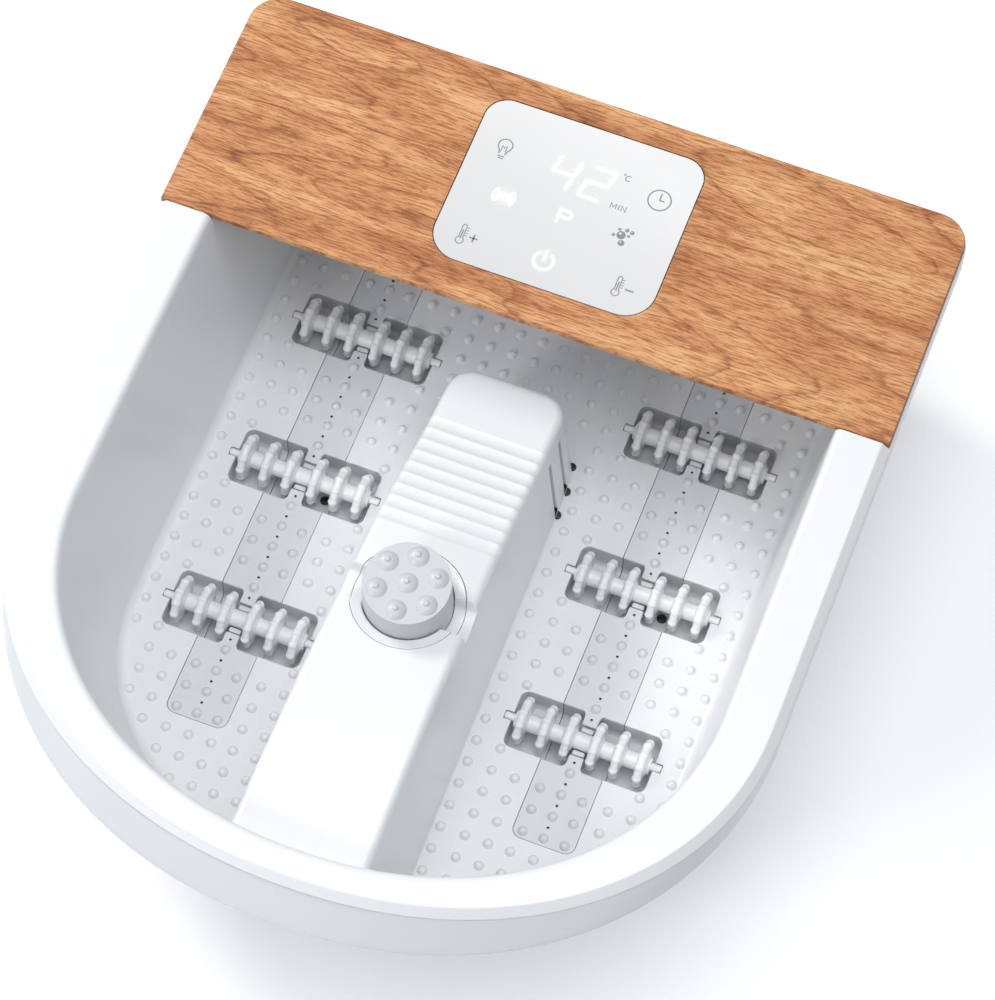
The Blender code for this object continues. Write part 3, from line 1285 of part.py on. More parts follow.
def make_vibration_motor():
    """Motor with an eccentric weight, in a cradle across the hump's open underside."""
    plate_top = FLOOR_HEIGHT - WALL - GAP
    axis = plate_top + VIBRATION_RISE
    low = (-BRACKET_HALF_WIDTH, VIBRATION_Y - BRACKET_HALF_LENGTH, plate_top - BRACKET_PLATE)
    high = (BRACKET_HALF_WIDTH, VIBRATION_Y + BRACKET_HALF_LENGTH, plate_top)
    bracket = add("motor_bracket", box(low, high), "steel")
    low = (-CRADLE_HALF_LENGTH, VIBRATION_Y - CRADLE_HALF_WIDTH, plate_top - BRACKET_PLATE / 2)
    high = (CRADLE_HALF_LENGTH, VIBRATION_Y + CRADLE_HALF_WIDTH, plate_top + CRADLE_RISE)
    join(bracket, guide("cradle", box(low, high)))
    ends = (-VIBRATION_HALF, VIBRATION_HALF)
    centre = (VIBRATION_Y, axis)
    bed = cylinder(VIBRATION_RADIUS + GAP, "x", *ends, centre, 20)
    cut(bracket, guide("motor_bed", bed))
    motor = add("vibration_motor", cylinder(VIBRATION_RADIUS, "x", *ends, centre, 20), "steel")
    bore = cylinder(WEIGHT_SHAFT + GAP, "x", 0, VIBRATION_HALF + OVERRUN, centre, 8)
    cut(motor, guide("motor_bore", bore))
    steps = CURVE_STEPS // 2
    half_disc = []
    for i in range(steps + 1):
        a = math.pi * (1 + i / steps)
        half_disc.append((VIBRATION_Y + WEIGHT_RADIUS * math.cos(a), axis + WEIGHT_RADIUS * math.sin(a)))
    hub = WEIGHT_SHAFT * 2
    half_disc += [(VIBRATION_Y + hub, axis + hub), (VIBRATION_Y - hub, axis + hub)]
    start = VIBRATION_HALF + WEIGHT_GAP
    weight = add("vibration_weight", prism(half_disc, "x", start, start + WEIGHT_LENGTH), "steel")
    shaft = cylinder(WEIGHT_SHAFT, "x", WEIGHT_GAP, start + WEIGHT_LENGTH / 2, centre, 8)
    join(weight, guide("weight_shaft", shaft))
    set_origin(weight, (start, VIBRATION_Y, axis))


def make_blower():
    """Air blower behind the tub: housing on two legs, back cover, motor and impeller."""
    front, back = BLOWER_Y - BLOWER_LENGTH / 2, BLOWER_Y + BLOWER_LENGTH / 2
    centre = (BLOWER_X, BLOWER_HEIGHT)
    inside = BLOWER_RADIUS - BLOWER_WALL
    drum = cylinder(BLOWER_RADIUS, "y", front, back, centre, 20)
    housing = add("blower_housing", drum, "pale_grey_plastic")
    feet = []
    base = BASE_HEIGHT + WALL + GAP
    for sign in (-1, 1):
        x = BLOWER_X + sign * BLOWER_LEG_X
        half = BLOWER_LEG_WIDTH / 2
        leg_low = (x - half, front + GAP, base)
        feet.append(box(leg_low, (x + half, front + GAP + BLOWER_LEG_DEPTH, BLOWER_HEIGHT - inside / 2)))
    neck_low = (BLOWER_X - BLOWER_NECK, MANIFOLD_Y - BLOWER_NECK, MANIFOLD_HEIGHT + MANIFOLD_RADIUS + GAP)
    neck_high = (BLOWER_X + BLOWER_NECK, MANIFOLD_Y + BLOWER_NECK, BLOWER_HEIGHT - inside / 2)
    feet.append(box(neck_low, neck_high))
    join(housing, guide("blower_feet", merged(*feet)))
    hollow = cylinder(inside, "y", front + BLOWER_WALL, back + OVERRUN, centre, 20)
    intake = cylinder(BLOWER_INTAKE, "y", front - OVERRUN, front + BLOWER_WALL * 2, centre, 12)
    outlet_ends = (neck_low[2] - OVERRUN, BLOWER_HEIGHT - inside + OVERRUN)
    outlet = cylinder(SPIGOT_BORE, "z", *outlet_ends, (BLOWER_X, MANIFOLD_Y), 8)
    cut(housing, guide("blower_hollow", hollow), guide("blower_intake", intake))
    cut(housing, guide("blower_outlet", outlet))

    cover_end = back + GAP + BLOWER_COVER
    plate = cylinder(BLOWER_RADIUS, "y", back + GAP, cover_end, centre, 20)
    cover = add("blower_cover", plate, "pale_grey_plastic")
    bore = IMPELLER_SHAFT + GAP
    cut(cover, guide("cover_bore", cylinder(bore * 2, "y", back, cover_end + OVERRUN, centre, 10)))
    motor_start = cover_end + GAP
    motor_end = motor_start + BLOWER_MOTOR_LENGTH
    motor = add("blower_motor", cylinder(BLOWER_MOTOR_RADIUS, "y", motor_start, motor_end, centre), "steel")
    bore_end = (motor_start + motor_end) / 2
    motor_bore = cylinder(bore, "y", motor_start - OVERRUN, bore_end, centre, 10)
    cut(motor, guide("blower_motor_bore", motor_bore))

    start, end = front + BLOWER_WALL + IMPELLER_CLEAR, back - IMPELLER_CLEAR
    disc = cylinder(IMPELLER_RADIUS, "y", end - IMPELLER_DISC, end, centre)
    impeller = add("blower_impeller", disc, "black_plastic")
    hub = cylinder(IMPELLER_HUB, "y", start, end - IMPELLER_DISC / 2, centre, 12)
    shaft = cylinder(IMPELLER_SHAFT, "y", end - IMPELLER_DISC / 2, end + IMPELLER_SHAFT_LENGTH, centre, 10)
    blades = []
    half = IMPELLER_BLADE / 2
    for i in range(IMPELLER_BLADES):
        low = (IMPELLER_HUB - half, start + GAP, -half)
        blade = box(low, (IMPELLER_RADIUS - half, end - IMPELLER_DISC / 2, half))
        turn = Matrix.Rotation(2 * math.pi * i / IMPELLER_BLADES, 4, "Y")
        blade.transform(Matrix.Translation((BLOWER_X, 0, BLOWER_HEIGHT)) @ turn)
        blades.append(blade)
    join(impeller, guide("impeller_hub", hub), guide("blades", merged(*blades)))
    join(impeller, guide("impeller_shaft", shaft))
    set_origin(impeller, (BLOWER_X, BLOWER_Y, BLOWER_HEIGHT))


def make_air_ducts():
    """Manifold under the blower and the two short hoses to the tub's spigots."""
    end = STRIP_X + MANIFOLD_END
    centre = (MANIFOLD_Y, MANIFOLD_HEIGHT)
    tube = cylinder(MANIFOLD_RADIUS, "x", -end, end, centre, 12)
    manifold = add("air_manifold", tube, "pale_grey_plastic")
    nipples, bores = [], []
    nipple_end = SPIGOT_END + NIPPLE_GAP
    for side, sign in SIDES:
        place = (sign * STRIP_X, MANIFOLD_HEIGHT)
        nipples.append(cylinder(SPIGOT_RADIUS, "y", nipple_end, MANIFOLD_Y, place, 12))
        bores.append(cylinder(SPIGOT_BORE, "y", nipple_end - OVERRUN, MANIFOLD_Y, place, 8))
        hose_start = FLOOR_BACK + WALL + HOSE_BACK
        hose_end = MANIFOLD_Y - MANIFOLD_RADIUS - HOSE_BACK
        outer = cylinder(SPIGOT_RADIUS + GAP + HOSE_WALL, "y", hose_start, hose_end, place, 12)
        hose = add(f"air_hose_{side}", outer, "clear_hose")
        inner = cylinder(SPIGOT_RADIUS + GAP, "y", hose_start - OVERRUN, hose_end + OVERRUN, place, 12)
        cut(hose, guide(f"hose_bore_{side}", inner))
    join(manifold, guide("nipples", merged(*nipples)))
    inside = MANIFOLD_RADIUS - MANIFOLD_WALL
    core = cylinder(inside, "x", MANIFOLD_WALL - end, end - MANIFOLD_WALL, centre, 12)
    top = MANIFOLD_HEIGHT + MANIFOLD_RADIUS + OVERRUN
    inlet = cylinder(SPIGOT_BORE, "z", MANIFOLD_HEIGHT, top, (BLOWER_X, MANIFOLD_Y), 8)
    cut(manifold, guide("manifold_core", core), guide("nipple_bores", merged(*bores)))
    cut(manifold, guide("manifold_inlet", inlet))


def add_block(name, size, offset, height_share, finish):
    """A component on the power board's front face, at an offset and a share of its height."""
    x, z = POWER_X + offset, POWER_BOTTOM + POWER_HEIGHT * height_share
    back = POWER_Y - BOARD_THICKNESS / 2 - GAP
    low = (x - size[0] / 2, back - size[1], z - size[2] / 2)
    add(name, box(low, (x + size[0] / 2, back, z + size[2] / 2)), finish)


def make_electronics():
    """Power board in its rails, its main components and the ribbon to the display."""
    half = BOARD_THICKNESS / 2
    top = POWER_BOTTOM + POWER_HEIGHT
    low = (POWER_X - POWER_HALF, POWER_Y - half, POWER_BOTTOM)
    add("power_board", box(low, (POWER_X + POWER_HALF, POWER_Y + half, top)), "circuit_board")
    add_block("transformer", TRANSFORMER_SIZE, TRANSFORMER_OFFSET, TRANSFORMER_HEIGHT_SHARE, "black_plastic")
    add_block("relay", RELAY_SIZE, RELAY_OFFSET, RELAY_HEIGHT_SHARE, "black_plastic")
    x, z = POWER_X + CAPACITOR_OFFSET, POWER_BOTTOM + POWER_HEIGHT * CAPACITOR_HEIGHT_SHARE
    back = POWER_Y - half - GAP
    capacitor = cylinder(CAPACITOR_RADIUS, "y", back - CAPACITOR_LENGTH, back, (x, z), 12)
    add("capacitor", capacitor, "aluminium")
    ribbon_low = (RIBBON_X - RIBBON_WIDTH / 2, RIBBON_Y - RIBBON_THICKNESS, top - RIBBON_OVERLAP)
    ribbon_high = (RIBBON_X + RIBBON_WIDTH / 2, RIBBON_Y, DISPLAY_BOTTOM - GAP)
    add("ribbon_cable", box(ribbon_low, ribbon_high), "pale_grey_plastic")


def main():
    for old in list(bpy.data.objects):
        bpy.data.objects.remove(old, do_unlink=True)
    make_basin()
    make_outer_shell()
    make_base_cover()
    make_feet()
    make_base_screws()
    make_wood_cover()
    make_control_housing()
    make_touch_panel()
    make_display()
    for side, sign in SIDES:
        make_strip(side, sign)
        make_strip_screw(side, sign)
    for side, row, x, y in pocket_centres():
        make_roller(f"roller_{side}_{row}", x, y)
    make_seat()
    make_attachment()
    make_heaters()
    make_vibration_motor()
    make_blower()
    make_air_ducts()
    make_electronics()
    make_cord_gland()


main()
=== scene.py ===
# %% [markdown]
# # A foot spa bath, piece by piece
# The object is a white plastic basin for two feet. Six massage rollers turn in its floor, a raised
# hump runs down its middle, and a wood-look cover with a touch panel closes the back.
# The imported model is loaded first: it gives every piece its place, so nothing here is fitted by eye.
# The unit is the metre, +Z is up, and the user sits on the -Y side.

# %% Load the frame
import math

import bmesh
import bpy
from mathutils import Matrix, Vector


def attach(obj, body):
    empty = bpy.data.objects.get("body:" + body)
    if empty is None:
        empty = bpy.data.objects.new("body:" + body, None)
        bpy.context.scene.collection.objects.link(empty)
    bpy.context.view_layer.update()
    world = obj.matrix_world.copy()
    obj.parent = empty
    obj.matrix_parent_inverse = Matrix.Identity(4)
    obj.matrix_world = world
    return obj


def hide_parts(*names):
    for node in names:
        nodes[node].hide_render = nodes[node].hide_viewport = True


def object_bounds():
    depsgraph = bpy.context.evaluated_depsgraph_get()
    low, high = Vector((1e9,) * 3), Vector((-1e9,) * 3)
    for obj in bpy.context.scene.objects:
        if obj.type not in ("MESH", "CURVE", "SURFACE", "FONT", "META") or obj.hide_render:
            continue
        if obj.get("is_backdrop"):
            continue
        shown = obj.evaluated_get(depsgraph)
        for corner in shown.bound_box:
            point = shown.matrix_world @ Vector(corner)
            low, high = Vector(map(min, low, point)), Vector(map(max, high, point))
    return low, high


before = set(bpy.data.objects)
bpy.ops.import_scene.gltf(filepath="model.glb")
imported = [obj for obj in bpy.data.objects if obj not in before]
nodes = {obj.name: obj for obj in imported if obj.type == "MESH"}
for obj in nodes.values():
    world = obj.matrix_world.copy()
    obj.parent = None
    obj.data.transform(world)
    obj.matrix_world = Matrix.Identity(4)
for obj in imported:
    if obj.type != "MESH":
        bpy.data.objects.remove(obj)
cad_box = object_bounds()
print("nodes:", len(nodes), "box:", [round(v, 4) for corner in cad_box for v in corner])

# %% [markdown]
# ## The camera
# The photograph is taken from high up and a little from the right, so the camera is described by
# its azimuth, its elevation and a small roll. It stands two metres away with a long lens, which
# keeps the sides of the tub almost parallel.

# %% Place the camera
CAMERA_AZIMUTH = math.radians(21.421)
CAMERA_ELEVATION = math.radians(64.430)
CAMERA_ROLL = math.radians(-0.302)
CAMERA_DISTANCE = 1.9616
CAMERA_SIDE = 0.01535
CAMERA_RISE = 0.02341
CAMERA_AIM = Vector((0.0, 0.02525, 0.0395))
CAMERA_LENS = 135.86
CAMERA_SENSOR = 36.0
CAMERA_SIGHT = 20.0


def camera_axes():
    """Right, up and back of the camera in the world."""
    flat = Vector((math.sin(CAMERA_AZIMUTH), -math.cos(CAMERA_AZIMUTH), 0))
    back = flat * math.cos(CAMERA_ELEVATION) + Vector((0, 0, math.sin(CAMERA_ELEVATION)))
    right = Vector((math.cos(CAMERA_AZIMUTH), math.sin(CAMERA_AZIMUTH), 0))
    up = back.cross(right)
    tilted = right * math.cos(CAMERA_ROLL) + up * math.sin(CAMERA_ROLL)
    return tilted, back.cross(tilted), back


right, up, back = camera_axes()
camera = bpy.data.objects.new("camera", bpy.data.cameras.new("camera"))
bpy.context.scene.collection.objects.link(camera)
camera.data.lens = CAMERA_LENS
camera.data.sensor_width = CAMERA_SENSOR
camera.data.clip_end = CAMERA_SIGHT
turn = Matrix((right, up, back)).transposed().to_4x4()
place = CAMERA_AIM + right * CAMERA_SIDE + up * CAMERA_RISE + back * CAMERA_DISTANCE
camera.matrix_world = Matrix.Translation(place) @ turn
bpy.context.scene.camera = camera
bpy.context.scene.view_settings.view_transform = "Standard"
print("camera at", [round(v, 3) for v in place])

# %% [markdown]
# ## Tools for materials
# A material is a tree of nodes. These functions add the nodes: each input takes either a plain
# value, which is set on the socket, or the output of another node, which is linked to it.

# %% Make the material tools
RELIEF = 0.0004


def feed(tree, socket, value):
    """Link an output to a socket, or set the socket's own value."""
    if hasattr(value, "is_output"):
        tree.links.new(value, socket)
    else:
        socket.default_value = value


def add_node(tree, kind, inputs=None, **settings):
    """A new shader node; its inputs are given by name or by number."""
    node = tree.nodes.new("ShaderNode" + kind)
    for name, value in settings.items():
        setattr(node, name, value)
    for name, value in (inputs or {}).items():
        feed(tree, node.inputs[name], value)
    return node


def math_node(tree, operation, *values):
    return add_node(tree, "Math", dict(enumerate(values)), operation=operation).outputs[0]


def plus(tree, first, second):
    return math_node(tree, "ADD", first, second)


def times(tree, first, second):
    return math_node(tree, "MULTIPLY", first, second)


def object_place(tree):
    """Coordinates in metres, the same for every piece because none is moved."""
    return add_node(tree, "TexCoord").outputs["Object"]


def noise_node(tree, vector, scale, detail=2.0, roughness=0.5):
    inputs = {"Vector": vector, "Scale": scale, "Detail": detail, "Roughness": roughness}
    return add_node(tree, "TexNoise", inputs).outputs["Fac"]


def stretched_noise(tree, vector, stretch, detail, roughness=0.5, scale=1.0):
    """Noise whose coordinates are stretched along X, Y and Z."""
    mapping = add_node(tree, "Mapping", {"Vector": vector, "Scale": stretch})
    return noise_node(tree, mapping.outputs["Vector"], scale, detail, roughness)


def spread(tree, value, low, high, start=0.0, end=1.0):
    """Map the run from start to end onto the range from low to high."""
    inputs = {"Value": value, "From Min": start, "From Max": end, "To Min": low, "To Max": high}
    return add_node(tree, "MapRange", inputs).outputs["Result"]


def colour_ramp(tree, value, stops):
    """A colour ramp; each stop is (place, colour)."""
    node = add_node(tree, "ValToRGB", {"Fac": value})
    ramp = node.color_ramp
    while len(ramp.elements) < len(stops):
        ramp.elements.new(0.5)
    for element, (place, colour) in zip(ramp.elements, stops):
        element.position = place
        element.color = (*colour, 1)
    return node.outputs["Color"]


def multiplied(tree, share, first, second):
    """The first colour multiplied by the second; each is an output or three numbers."""
    colours = [value if hasattr(value, "is_output") else (*value, 1) for value in (first, second)]
    inputs = {"Factor": share, "A": colours[0], "B": colours[1]}
    return add_node(tree, "Mix", inputs, data_type="RGBA", blend_type="MULTIPLY").outputs["Result"]


def bump(tree, height, strength):
    inputs = {"Height": height, "Strength": strength, "Distance": RELIEF}
    return add_node(tree, "Bump", inputs).outputs["Normal"]


def new_material(name):
    """A material and its node tree, with the Principled shader in it."""
    material = bpy.data.materials.new(name)
    material.use_nodes = True
    return material, material.node_tree


def shade(tree, inputs):
    """Set or link inputs of the tree's Principled shader."""
    for name, value in inputs.items():
        feed(tree, tree.nodes["Principled BSDF"].inputs[name], value)


def new_group(name, inputs, outputs):
    """A node group with number sockets: its tree, its input node and its output node."""
    tree = bpy.data.node_groups.new(name, "ShaderNodeTree")
    for socket, value in inputs.items():
        made = tree.interface.new_socket(name=socket, in_out="INPUT", socket_type="NodeSocketFloat")
        made.default_value = value
    for socket in outputs:
        tree.interface.new_socket(name=socket, in_out="OUTPUT", socket_type="NodeSocketFloat")
    return tree, tree.nodes.new("NodeGroupInput"), tree.nodes.new("NodeGroupOutput")


def seen_directly(tree):
    """One for a ray that shows the studio: from the camera, a reflection or through glass."""
    rays = add_node(tree, "LightPath").outputs
    either = math_node(tree, "MAXIMUM", rays["Is Camera Ray"], rays["Is Glossy Ray"])
    return math_node(tree, "MAXIMUM", either, rays["Is Transmission Ray"])


print("material tools ready")

# %% [markdown]
# ## Floor, sky and lamps
# A product photograph stands on a white sheet. The floor here is a large plane whose own colour is
# nearly white, and the camera sees a white world behind it. The main lamp hangs behind and to the
# left, so the shadow falls to the right and towards the user. A lamp above lights the bottom of the
# bath, one at the front left reaches under the rear cover, and the world adds a cool even light.

# %% Lay the floor and hang the lamps
FLOOR_SIZE = 12.0
FLOOR_GLOW = 0.18
GLOW_GROWS = (0.45, 1.30)
AMBIENT = ((0.93, 0.965, 1.0, 1), 0.34)
LAMPS = {
    "window": ((-1.75, 0.70, 1.75), (0.0, 0.0, 0.05), 0.80, 25.5, (1.0, 0.995, 0.985)),
    "ceiling": ((0.25, -0.10, 2.20), (0.0, 0.0, 0.0), 1.60, 25.0, (0.97, 0.985, 1.0)),
    "front": ((-0.75, -1.40, 1.25), (0.0, 0.05, 0.05), 0.50, 9.0, (0.96, 0.98, 1.0)),
}


def add_lamp(name, position, target, size, power, colour):
    light = bpy.data.lights.new(name, "AREA")
    light.shape = "DISK"
    light.size = size
    light.energy = power
    light.color = colour
    lamp = bpy.data.objects.new(name, light)
    bpy.context.scene.collection.objects.link(lamp)
    lamp.location = position
    aim = Vector(target) - Vector(position)
    lamp.rotation_euler = aim.to_track_quat("-Z", "Y").to_euler()


def make_floor_paper():
    """Looks plain white to the camera wherever no shadow falls, and far away."""
    material, tree = new_material("studio_paper")
    cloudy = add_node(tree, "TexNoise", {"Scale": 3.0}).outputs["Fac"]
    far = add_node(tree, "VectorMath", {0: object_place(tree)}, operation="LENGTH").outputs["Value"]
    glow = spread(tree, far, FLOOR_GLOW, 1.0, *GLOW_GROWS)
    shade(tree, {
        "Base Color": colour_ramp(tree, cloudy, [(0.0, (0.90, 0.905, 0.91)), (1.0, (0.93, 0.93, 0.93))]),
        "Roughness": 0.6,
        "Specular IOR Level": 0.2,
        "Emission Color": (1, 1, 1, 1),
        "Emission Strength": times(tree, seen_directly(tree), glow),
    })
    return material


def light_the_world():
    """White for the rays that show the studio, a cool even light for all others."""
    world = bpy.context.scene.world or bpy.data.worlds.new("studio")
    bpy.context.scene.world = world
    world.use_nodes = True
    sky = world.node_tree
    sky.nodes.clear()
    ambient = add_node(sky, "Background", {"Color": AMBIENT[0], "Strength": AMBIENT[1]})
    white = add_node(sky, "Background", {"Strength": 1.0})
    inputs = {"Fac": seen_directly(sky), 1: ambient.outputs[0], 2: white.outputs[0]}
    both = add_node(sky, "MixShader", inputs)
    add_node(sky, "OutputWorld", {"Surface": both.outputs[0]})


for name, values in LAMPS.items():
    add_lamp(name, *values)
bpy.ops.mesh.primitive_plane_add(size=FLOOR_SIZE)
sheet = bpy.context.object
sheet.name = "studio_floor"
sheet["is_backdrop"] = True
sheet.data.materials.append(make_floor_paper())
light_the_world()
print("lamps:", ", ".join(LAMPS))

# %% [markdown]
# ## The plastics
# Injection-moulded plastic is never one flat value. Its mould was spark-eroded, which leaves a fine
# orange-peel texture, and its gloss varies softly over the part. One node group makes both from
# noise, and each plastic uses it with its own strength: the tone is multiplied into its colour and
# the peel goes through a Bump node. The tub is white, the outer shell a touch bluer, the strips and
# the attachment light grey.

# %% Make the plastics
# Each row: colour, gloss, how far the gloss varies, how far the tone varies, strength of the peel.
PLASTICS = {
    "tub_white": ((0.785, 0.796, 0.811), 0.30, 0.06, 0.010, 0.010),
    "shell_white": ((0.675, 0.691, 0.718), 0.32, 0.06, 0.012, 0.010),
    "strip_grey": ((0.680, 0.695, 0.721), 0.36, 0.06, 0.015, 0.015),
    "roller_white": ((0.835, 0.843, 0.850), 0.24, 0.08, 0.012, 0.010),
    "attachment_grey": ((0.560, 0.578, 0.606), 0.36, 0.08, 0.020, 0.020),
    "inner_grey": ((0.55, 0.56, 0.57), 0.45, 0.10, 0.040, 0.030),
    # Painted shade for the bottoms of the vent slits.
    "slit_painted_shade": ((0.30, 0.31, 0.33), 0.45, 0.10, 0.040, 0.030),
    # Real black plastic, also used as painted shade inside the vents and air holes.
    "black_plastic": ((0.020, 0.021, 0.023), 0.42, 0.14, 0.200, 0.040),
    "foot_rubber": ((0.035, 0.036, 0.038), 0.78, 0.16, 0.250, 0.120),
    "hose_rubber": ((0.60, 0.63, 0.64), 0.42, 0.10, 0.050, 0.030),
}
CLOUDS, PEEL = (24.0, 3.0), (900.0, 1.5)


def make_moulded_surface():
    inputs = {"Gloss": 0.3, "Gloss Spread": 0.05, "Tone Spread": 0.02}
    tree, start, end = new_group("moulded_surface", inputs, ("Roughness", "Height", "Tone"))
    where = object_place(tree)
    cloudy = math_node(tree, "SUBTRACT", noise_node(tree, where, *CLOUDS), 0.5)
    rough = times(tree, cloudy, start.outputs["Gloss Spread"])
    feed(tree, end.inputs["Roughness"], plus(tree, start.outputs["Gloss"], rough))
    feed(tree, end.inputs["Height"], noise_node(tree, where, *PEEL))
    shift = times(tree, cloudy, start.outputs["Tone Spread"])
    feed(tree, end.inputs["Tone"], plus(tree, 1.0, shift))
    return tree


moulded_surface = make_moulded_surface()


def make_plastic(name, colour, gloss, gloss_spread, tone_spread, peel):
    material, tree = new_material(name)
    surface = add_node(tree, "Group", node_tree=moulded_surface)
    for socket, value in (("Gloss", gloss), ("Gloss Spread", gloss_spread), ("Tone Spread", tone_spread)):
        surface.inputs[socket].default_value = value
    tone = {channel: surface.outputs["Tone"] for channel in ("Red", "Green", "Blue")}
    grey = add_node(tree, "CombineColor", tone).outputs["Color"]
    shade(tree, {
        "Base Color": multiplied(tree, 1.0, colour, grey),
        "Roughness": surface.outputs["Roughness"],
        "Normal": bump(tree, surface.outputs["Height"], peel),
    })
    return material


plastics = {name: make_plastic(name, *values) for name, values in PLASTICS.items()}
tub_white, black_plastic = plastics["tub_white"], plastics["black_plastic"]
print("group:", moulded_surface.name, "plastics:", ", ".join(plastics))

# %% [markdown]
# ## Wood look
# The rear cover is a moulding with a printed wood film. The print is a plain-sawn board: its year
# rings show as long lines that close into loops, short dark pores lie along them, and whole zones
# are redder. Such lines are the contour lines of a slow stretched noise, like those of a hill on a
# map. One group makes the lines, the pores and the zones, and the material turns them into colour
# and a shallow relief.

# %% Make the wood-look film
ZONE_STOPS = [(0.38, (0.510, 0.220, 0.082)), (0.50, (0.640, 0.316, 0.133)), (0.62, (0.740, 0.416, 0.195))]
RING_STOPS = [
    (0.0, (0.50, 0.36, 0.27)), (0.07, (0.84, 0.76, 0.69)), (0.35, (1.0, 1.0, 1.0)),
    (0.96, (0.94, 0.90, 0.87)), (1.0, (0.50, 0.36, 0.27)),
]
PORE_STOPS = [(0.40, (0.44, 0.29, 0.20)), (0.475, (0.72, 0.58, 0.48)), (0.535, (1.0, 1.0, 1.0))]
RINGS_OVER_HILL, RINGS_ACROSS, RAGGED = 17.0, 30.0, 0.22
WAVINESS = 0.004


def make_wood_grain():
    """Year rings, pores and colour zones, as numbers for the material to colour."""
    inputs = {"Figure Lines": RINGS_OVER_HILL, "Waviness": WAVINESS}
    tree, start, end = new_group("wood_grain", inputs, ("Figure", "Pores", "Zones"))
    where = object_place(tree)
    split = add_node(tree, "SeparateXYZ", {"Vector": where}).outputs
    sway = math_node(tree, "SUBTRACT", stretched_noise(tree, where, (26.0, 60.0, 1.0), 2.0), 0.5)
    across = plus(tree, split["Y"], times(tree, sway, start.outputs["Waviness"]))
    board = add_node(tree, "CombineXYZ", {"X": split["X"], "Y": across}).outputs["Vector"]
    hill = stretched_noise(tree, board, (2.6, 14.0, 1.0), 1.0)
    ragged = times(tree, stretched_noise(tree, board, (60.0, 330.0, 1.0), 3.0), RAGGED)
    cycles = plus(tree, times(tree, hill, start.outputs["Figure Lines"]), ragged)
    cycles = plus(tree, cycles, times(tree, across, RINGS_ACROSS))
    feed(tree, end.inputs["Figure"], math_node(tree, "FRACT", cycles))
    streaks = stretched_noise(tree, board, (5.0, 75.0, 1.0), 4.0, 0.6)
    patches = stretched_noise(tree, board, (7.0, 13.0, 1.0), 2.0, scale=3.1)
    zones = plus(tree, times(tree, streaks, 0.6), times(tree, patches, 0.4))
    feed(tree, end.inputs["Zones"], zones)
    strokes = stretched_noise(tree, board, (85.0, 950.0, 1.0), 5.0, 0.74)
    thinned = times(tree, math_node(tree, "SUBTRACT", zones, 0.5), 0.12)
    feed(tree, end.inputs["Pores"], plus(tree, strokes, thinned))
    return tree


def make_wood_film(grain_group):
    material, tree = new_material("wood_film")
    grain = add_node(tree, "Group", node_tree=grain_group)
    board = colour_ramp(tree, grain.outputs["Zones"], ZONE_STOPS)
    rings = colour_ramp(tree, grain.outputs["Figure"], RING_STOPS)
    pores = colour_ramp(tree, grain.outputs["Pores"], PORE_STOPS)
    shade(tree, {
        "Base Color": multiplied(tree, 0.90, multiplied(tree, 0.85, board, rings), pores),
        "Roughness": spread(tree, grain.outputs["Pores"], 0.60, 0.42),
        "Normal": bump(tree, grain.outputs["Pores"], 0.12),
    })
    return material


wood_film = make_wood_film(make_wood_grain())
print("material:", wood_film.name)

# %% [markdown]
# The machine inside needs a few more finishes: turned steel, brushed aluminium heater plates and
# green circuit boards. They are seldom seen, but a view from below or a taken-apart model shows
# them, so they get their own grain as well.

# %% Make the metals and the circuit board


def make_metal(name, colour, roughness, stretch):
    """A metal whose fine lines run along X."""
    material, tree = new_material(name)
    lines = stretched_noise(tree, object_place(tree), stretch, 3.0)
    dark = [channel * 0.86 for channel in colour]
    shade(tree, {
        "Metallic": 1.0,
        "Roughness": spread(tree, lines, roughness - 0.08, roughness + 0.10),
        "Base Color": colour_ramp(tree, lines, [(0.3, dark), (0.7, colour)]),
    })
    return material


def make_circuit_board():
    """Green lacquer with a fine lighter pattern of tracks."""
    material, tree = new_material("circuit_board")
    tracks = add_node(tree, "TexBrick", {
        "Vector": object_place(tree), "Scale": 260.0, "Mortar Size": 0.06,
        "Color1": (0.012, 0.120, 0.050, 1), "Color2": (0.016, 0.150, 0.062, 1),
        "Mortar": (0.050, 0.260, 0.110, 1),
    })
    rough = spread(tree, tracks.outputs["Fac"], 0.38, 0.55)
    shade(tree, {"Base Color": tracks.outputs["Color"], "Roughness": rough})
    return material


steel = make_metal("turned_steel", (0.58, 0.58, 0.60), 0.32, (40.0, 900.0, 900.0))
aluminium = make_metal("brushed_aluminium", (0.72, 0.73, 0.75), 0.36, (30.0, 1200.0, 400.0))
circuit_board = make_circuit_board()
print("metals:", steel.name, aluminium.name, "board:", circuit_board.name)

# %% [markdown]
# ## Dressing the nodes that keep their CAD mesh
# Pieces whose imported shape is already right, such as the feet, the screws and the machine inside,
# keep it and only change their material.

# %% Give the kept nodes their finish
CORNERS = ("front_left", "front_right", "back_left", "back_right")
KEPT_FINISH = {
    plastics["foot_rubber"]: [f"foot_{corner}" for corner in CORNERS],
    steel: [f"base_screw_{corner}" for corner in CORNERS]
    + ["vibration_motor", "vibration_weight", "motor_bracket", "temperature_sensor"],
    aluminium: ["heater_left", "heater_right", "capacitor"],
    circuit_board: ["display_board", "power_board", "lamp_board"],
    plastics["hose_rubber"]: ["air_hose_left", "air_hose_right"],
    plastics["shell_white"]: ["base_cover", "control_housing"],
    plastics["inner_grey"]: ["air_manifold", "blower_housing", "blower_cover", "ribbon_cable"],
    black_plastic: [
        "blower_impeller", "blower_motor", "digit_display", "relay", "thermal_cutout",
        "transformer", "cord_gland",
    ],
}
for material, names in KEPT_FINISH.items():
    for name in names:
        for slot in nodes[name].material_slots:
            slot.material = material
print("kept nodes:", sum(len(names) for names in KEPT_FINISH.values()))

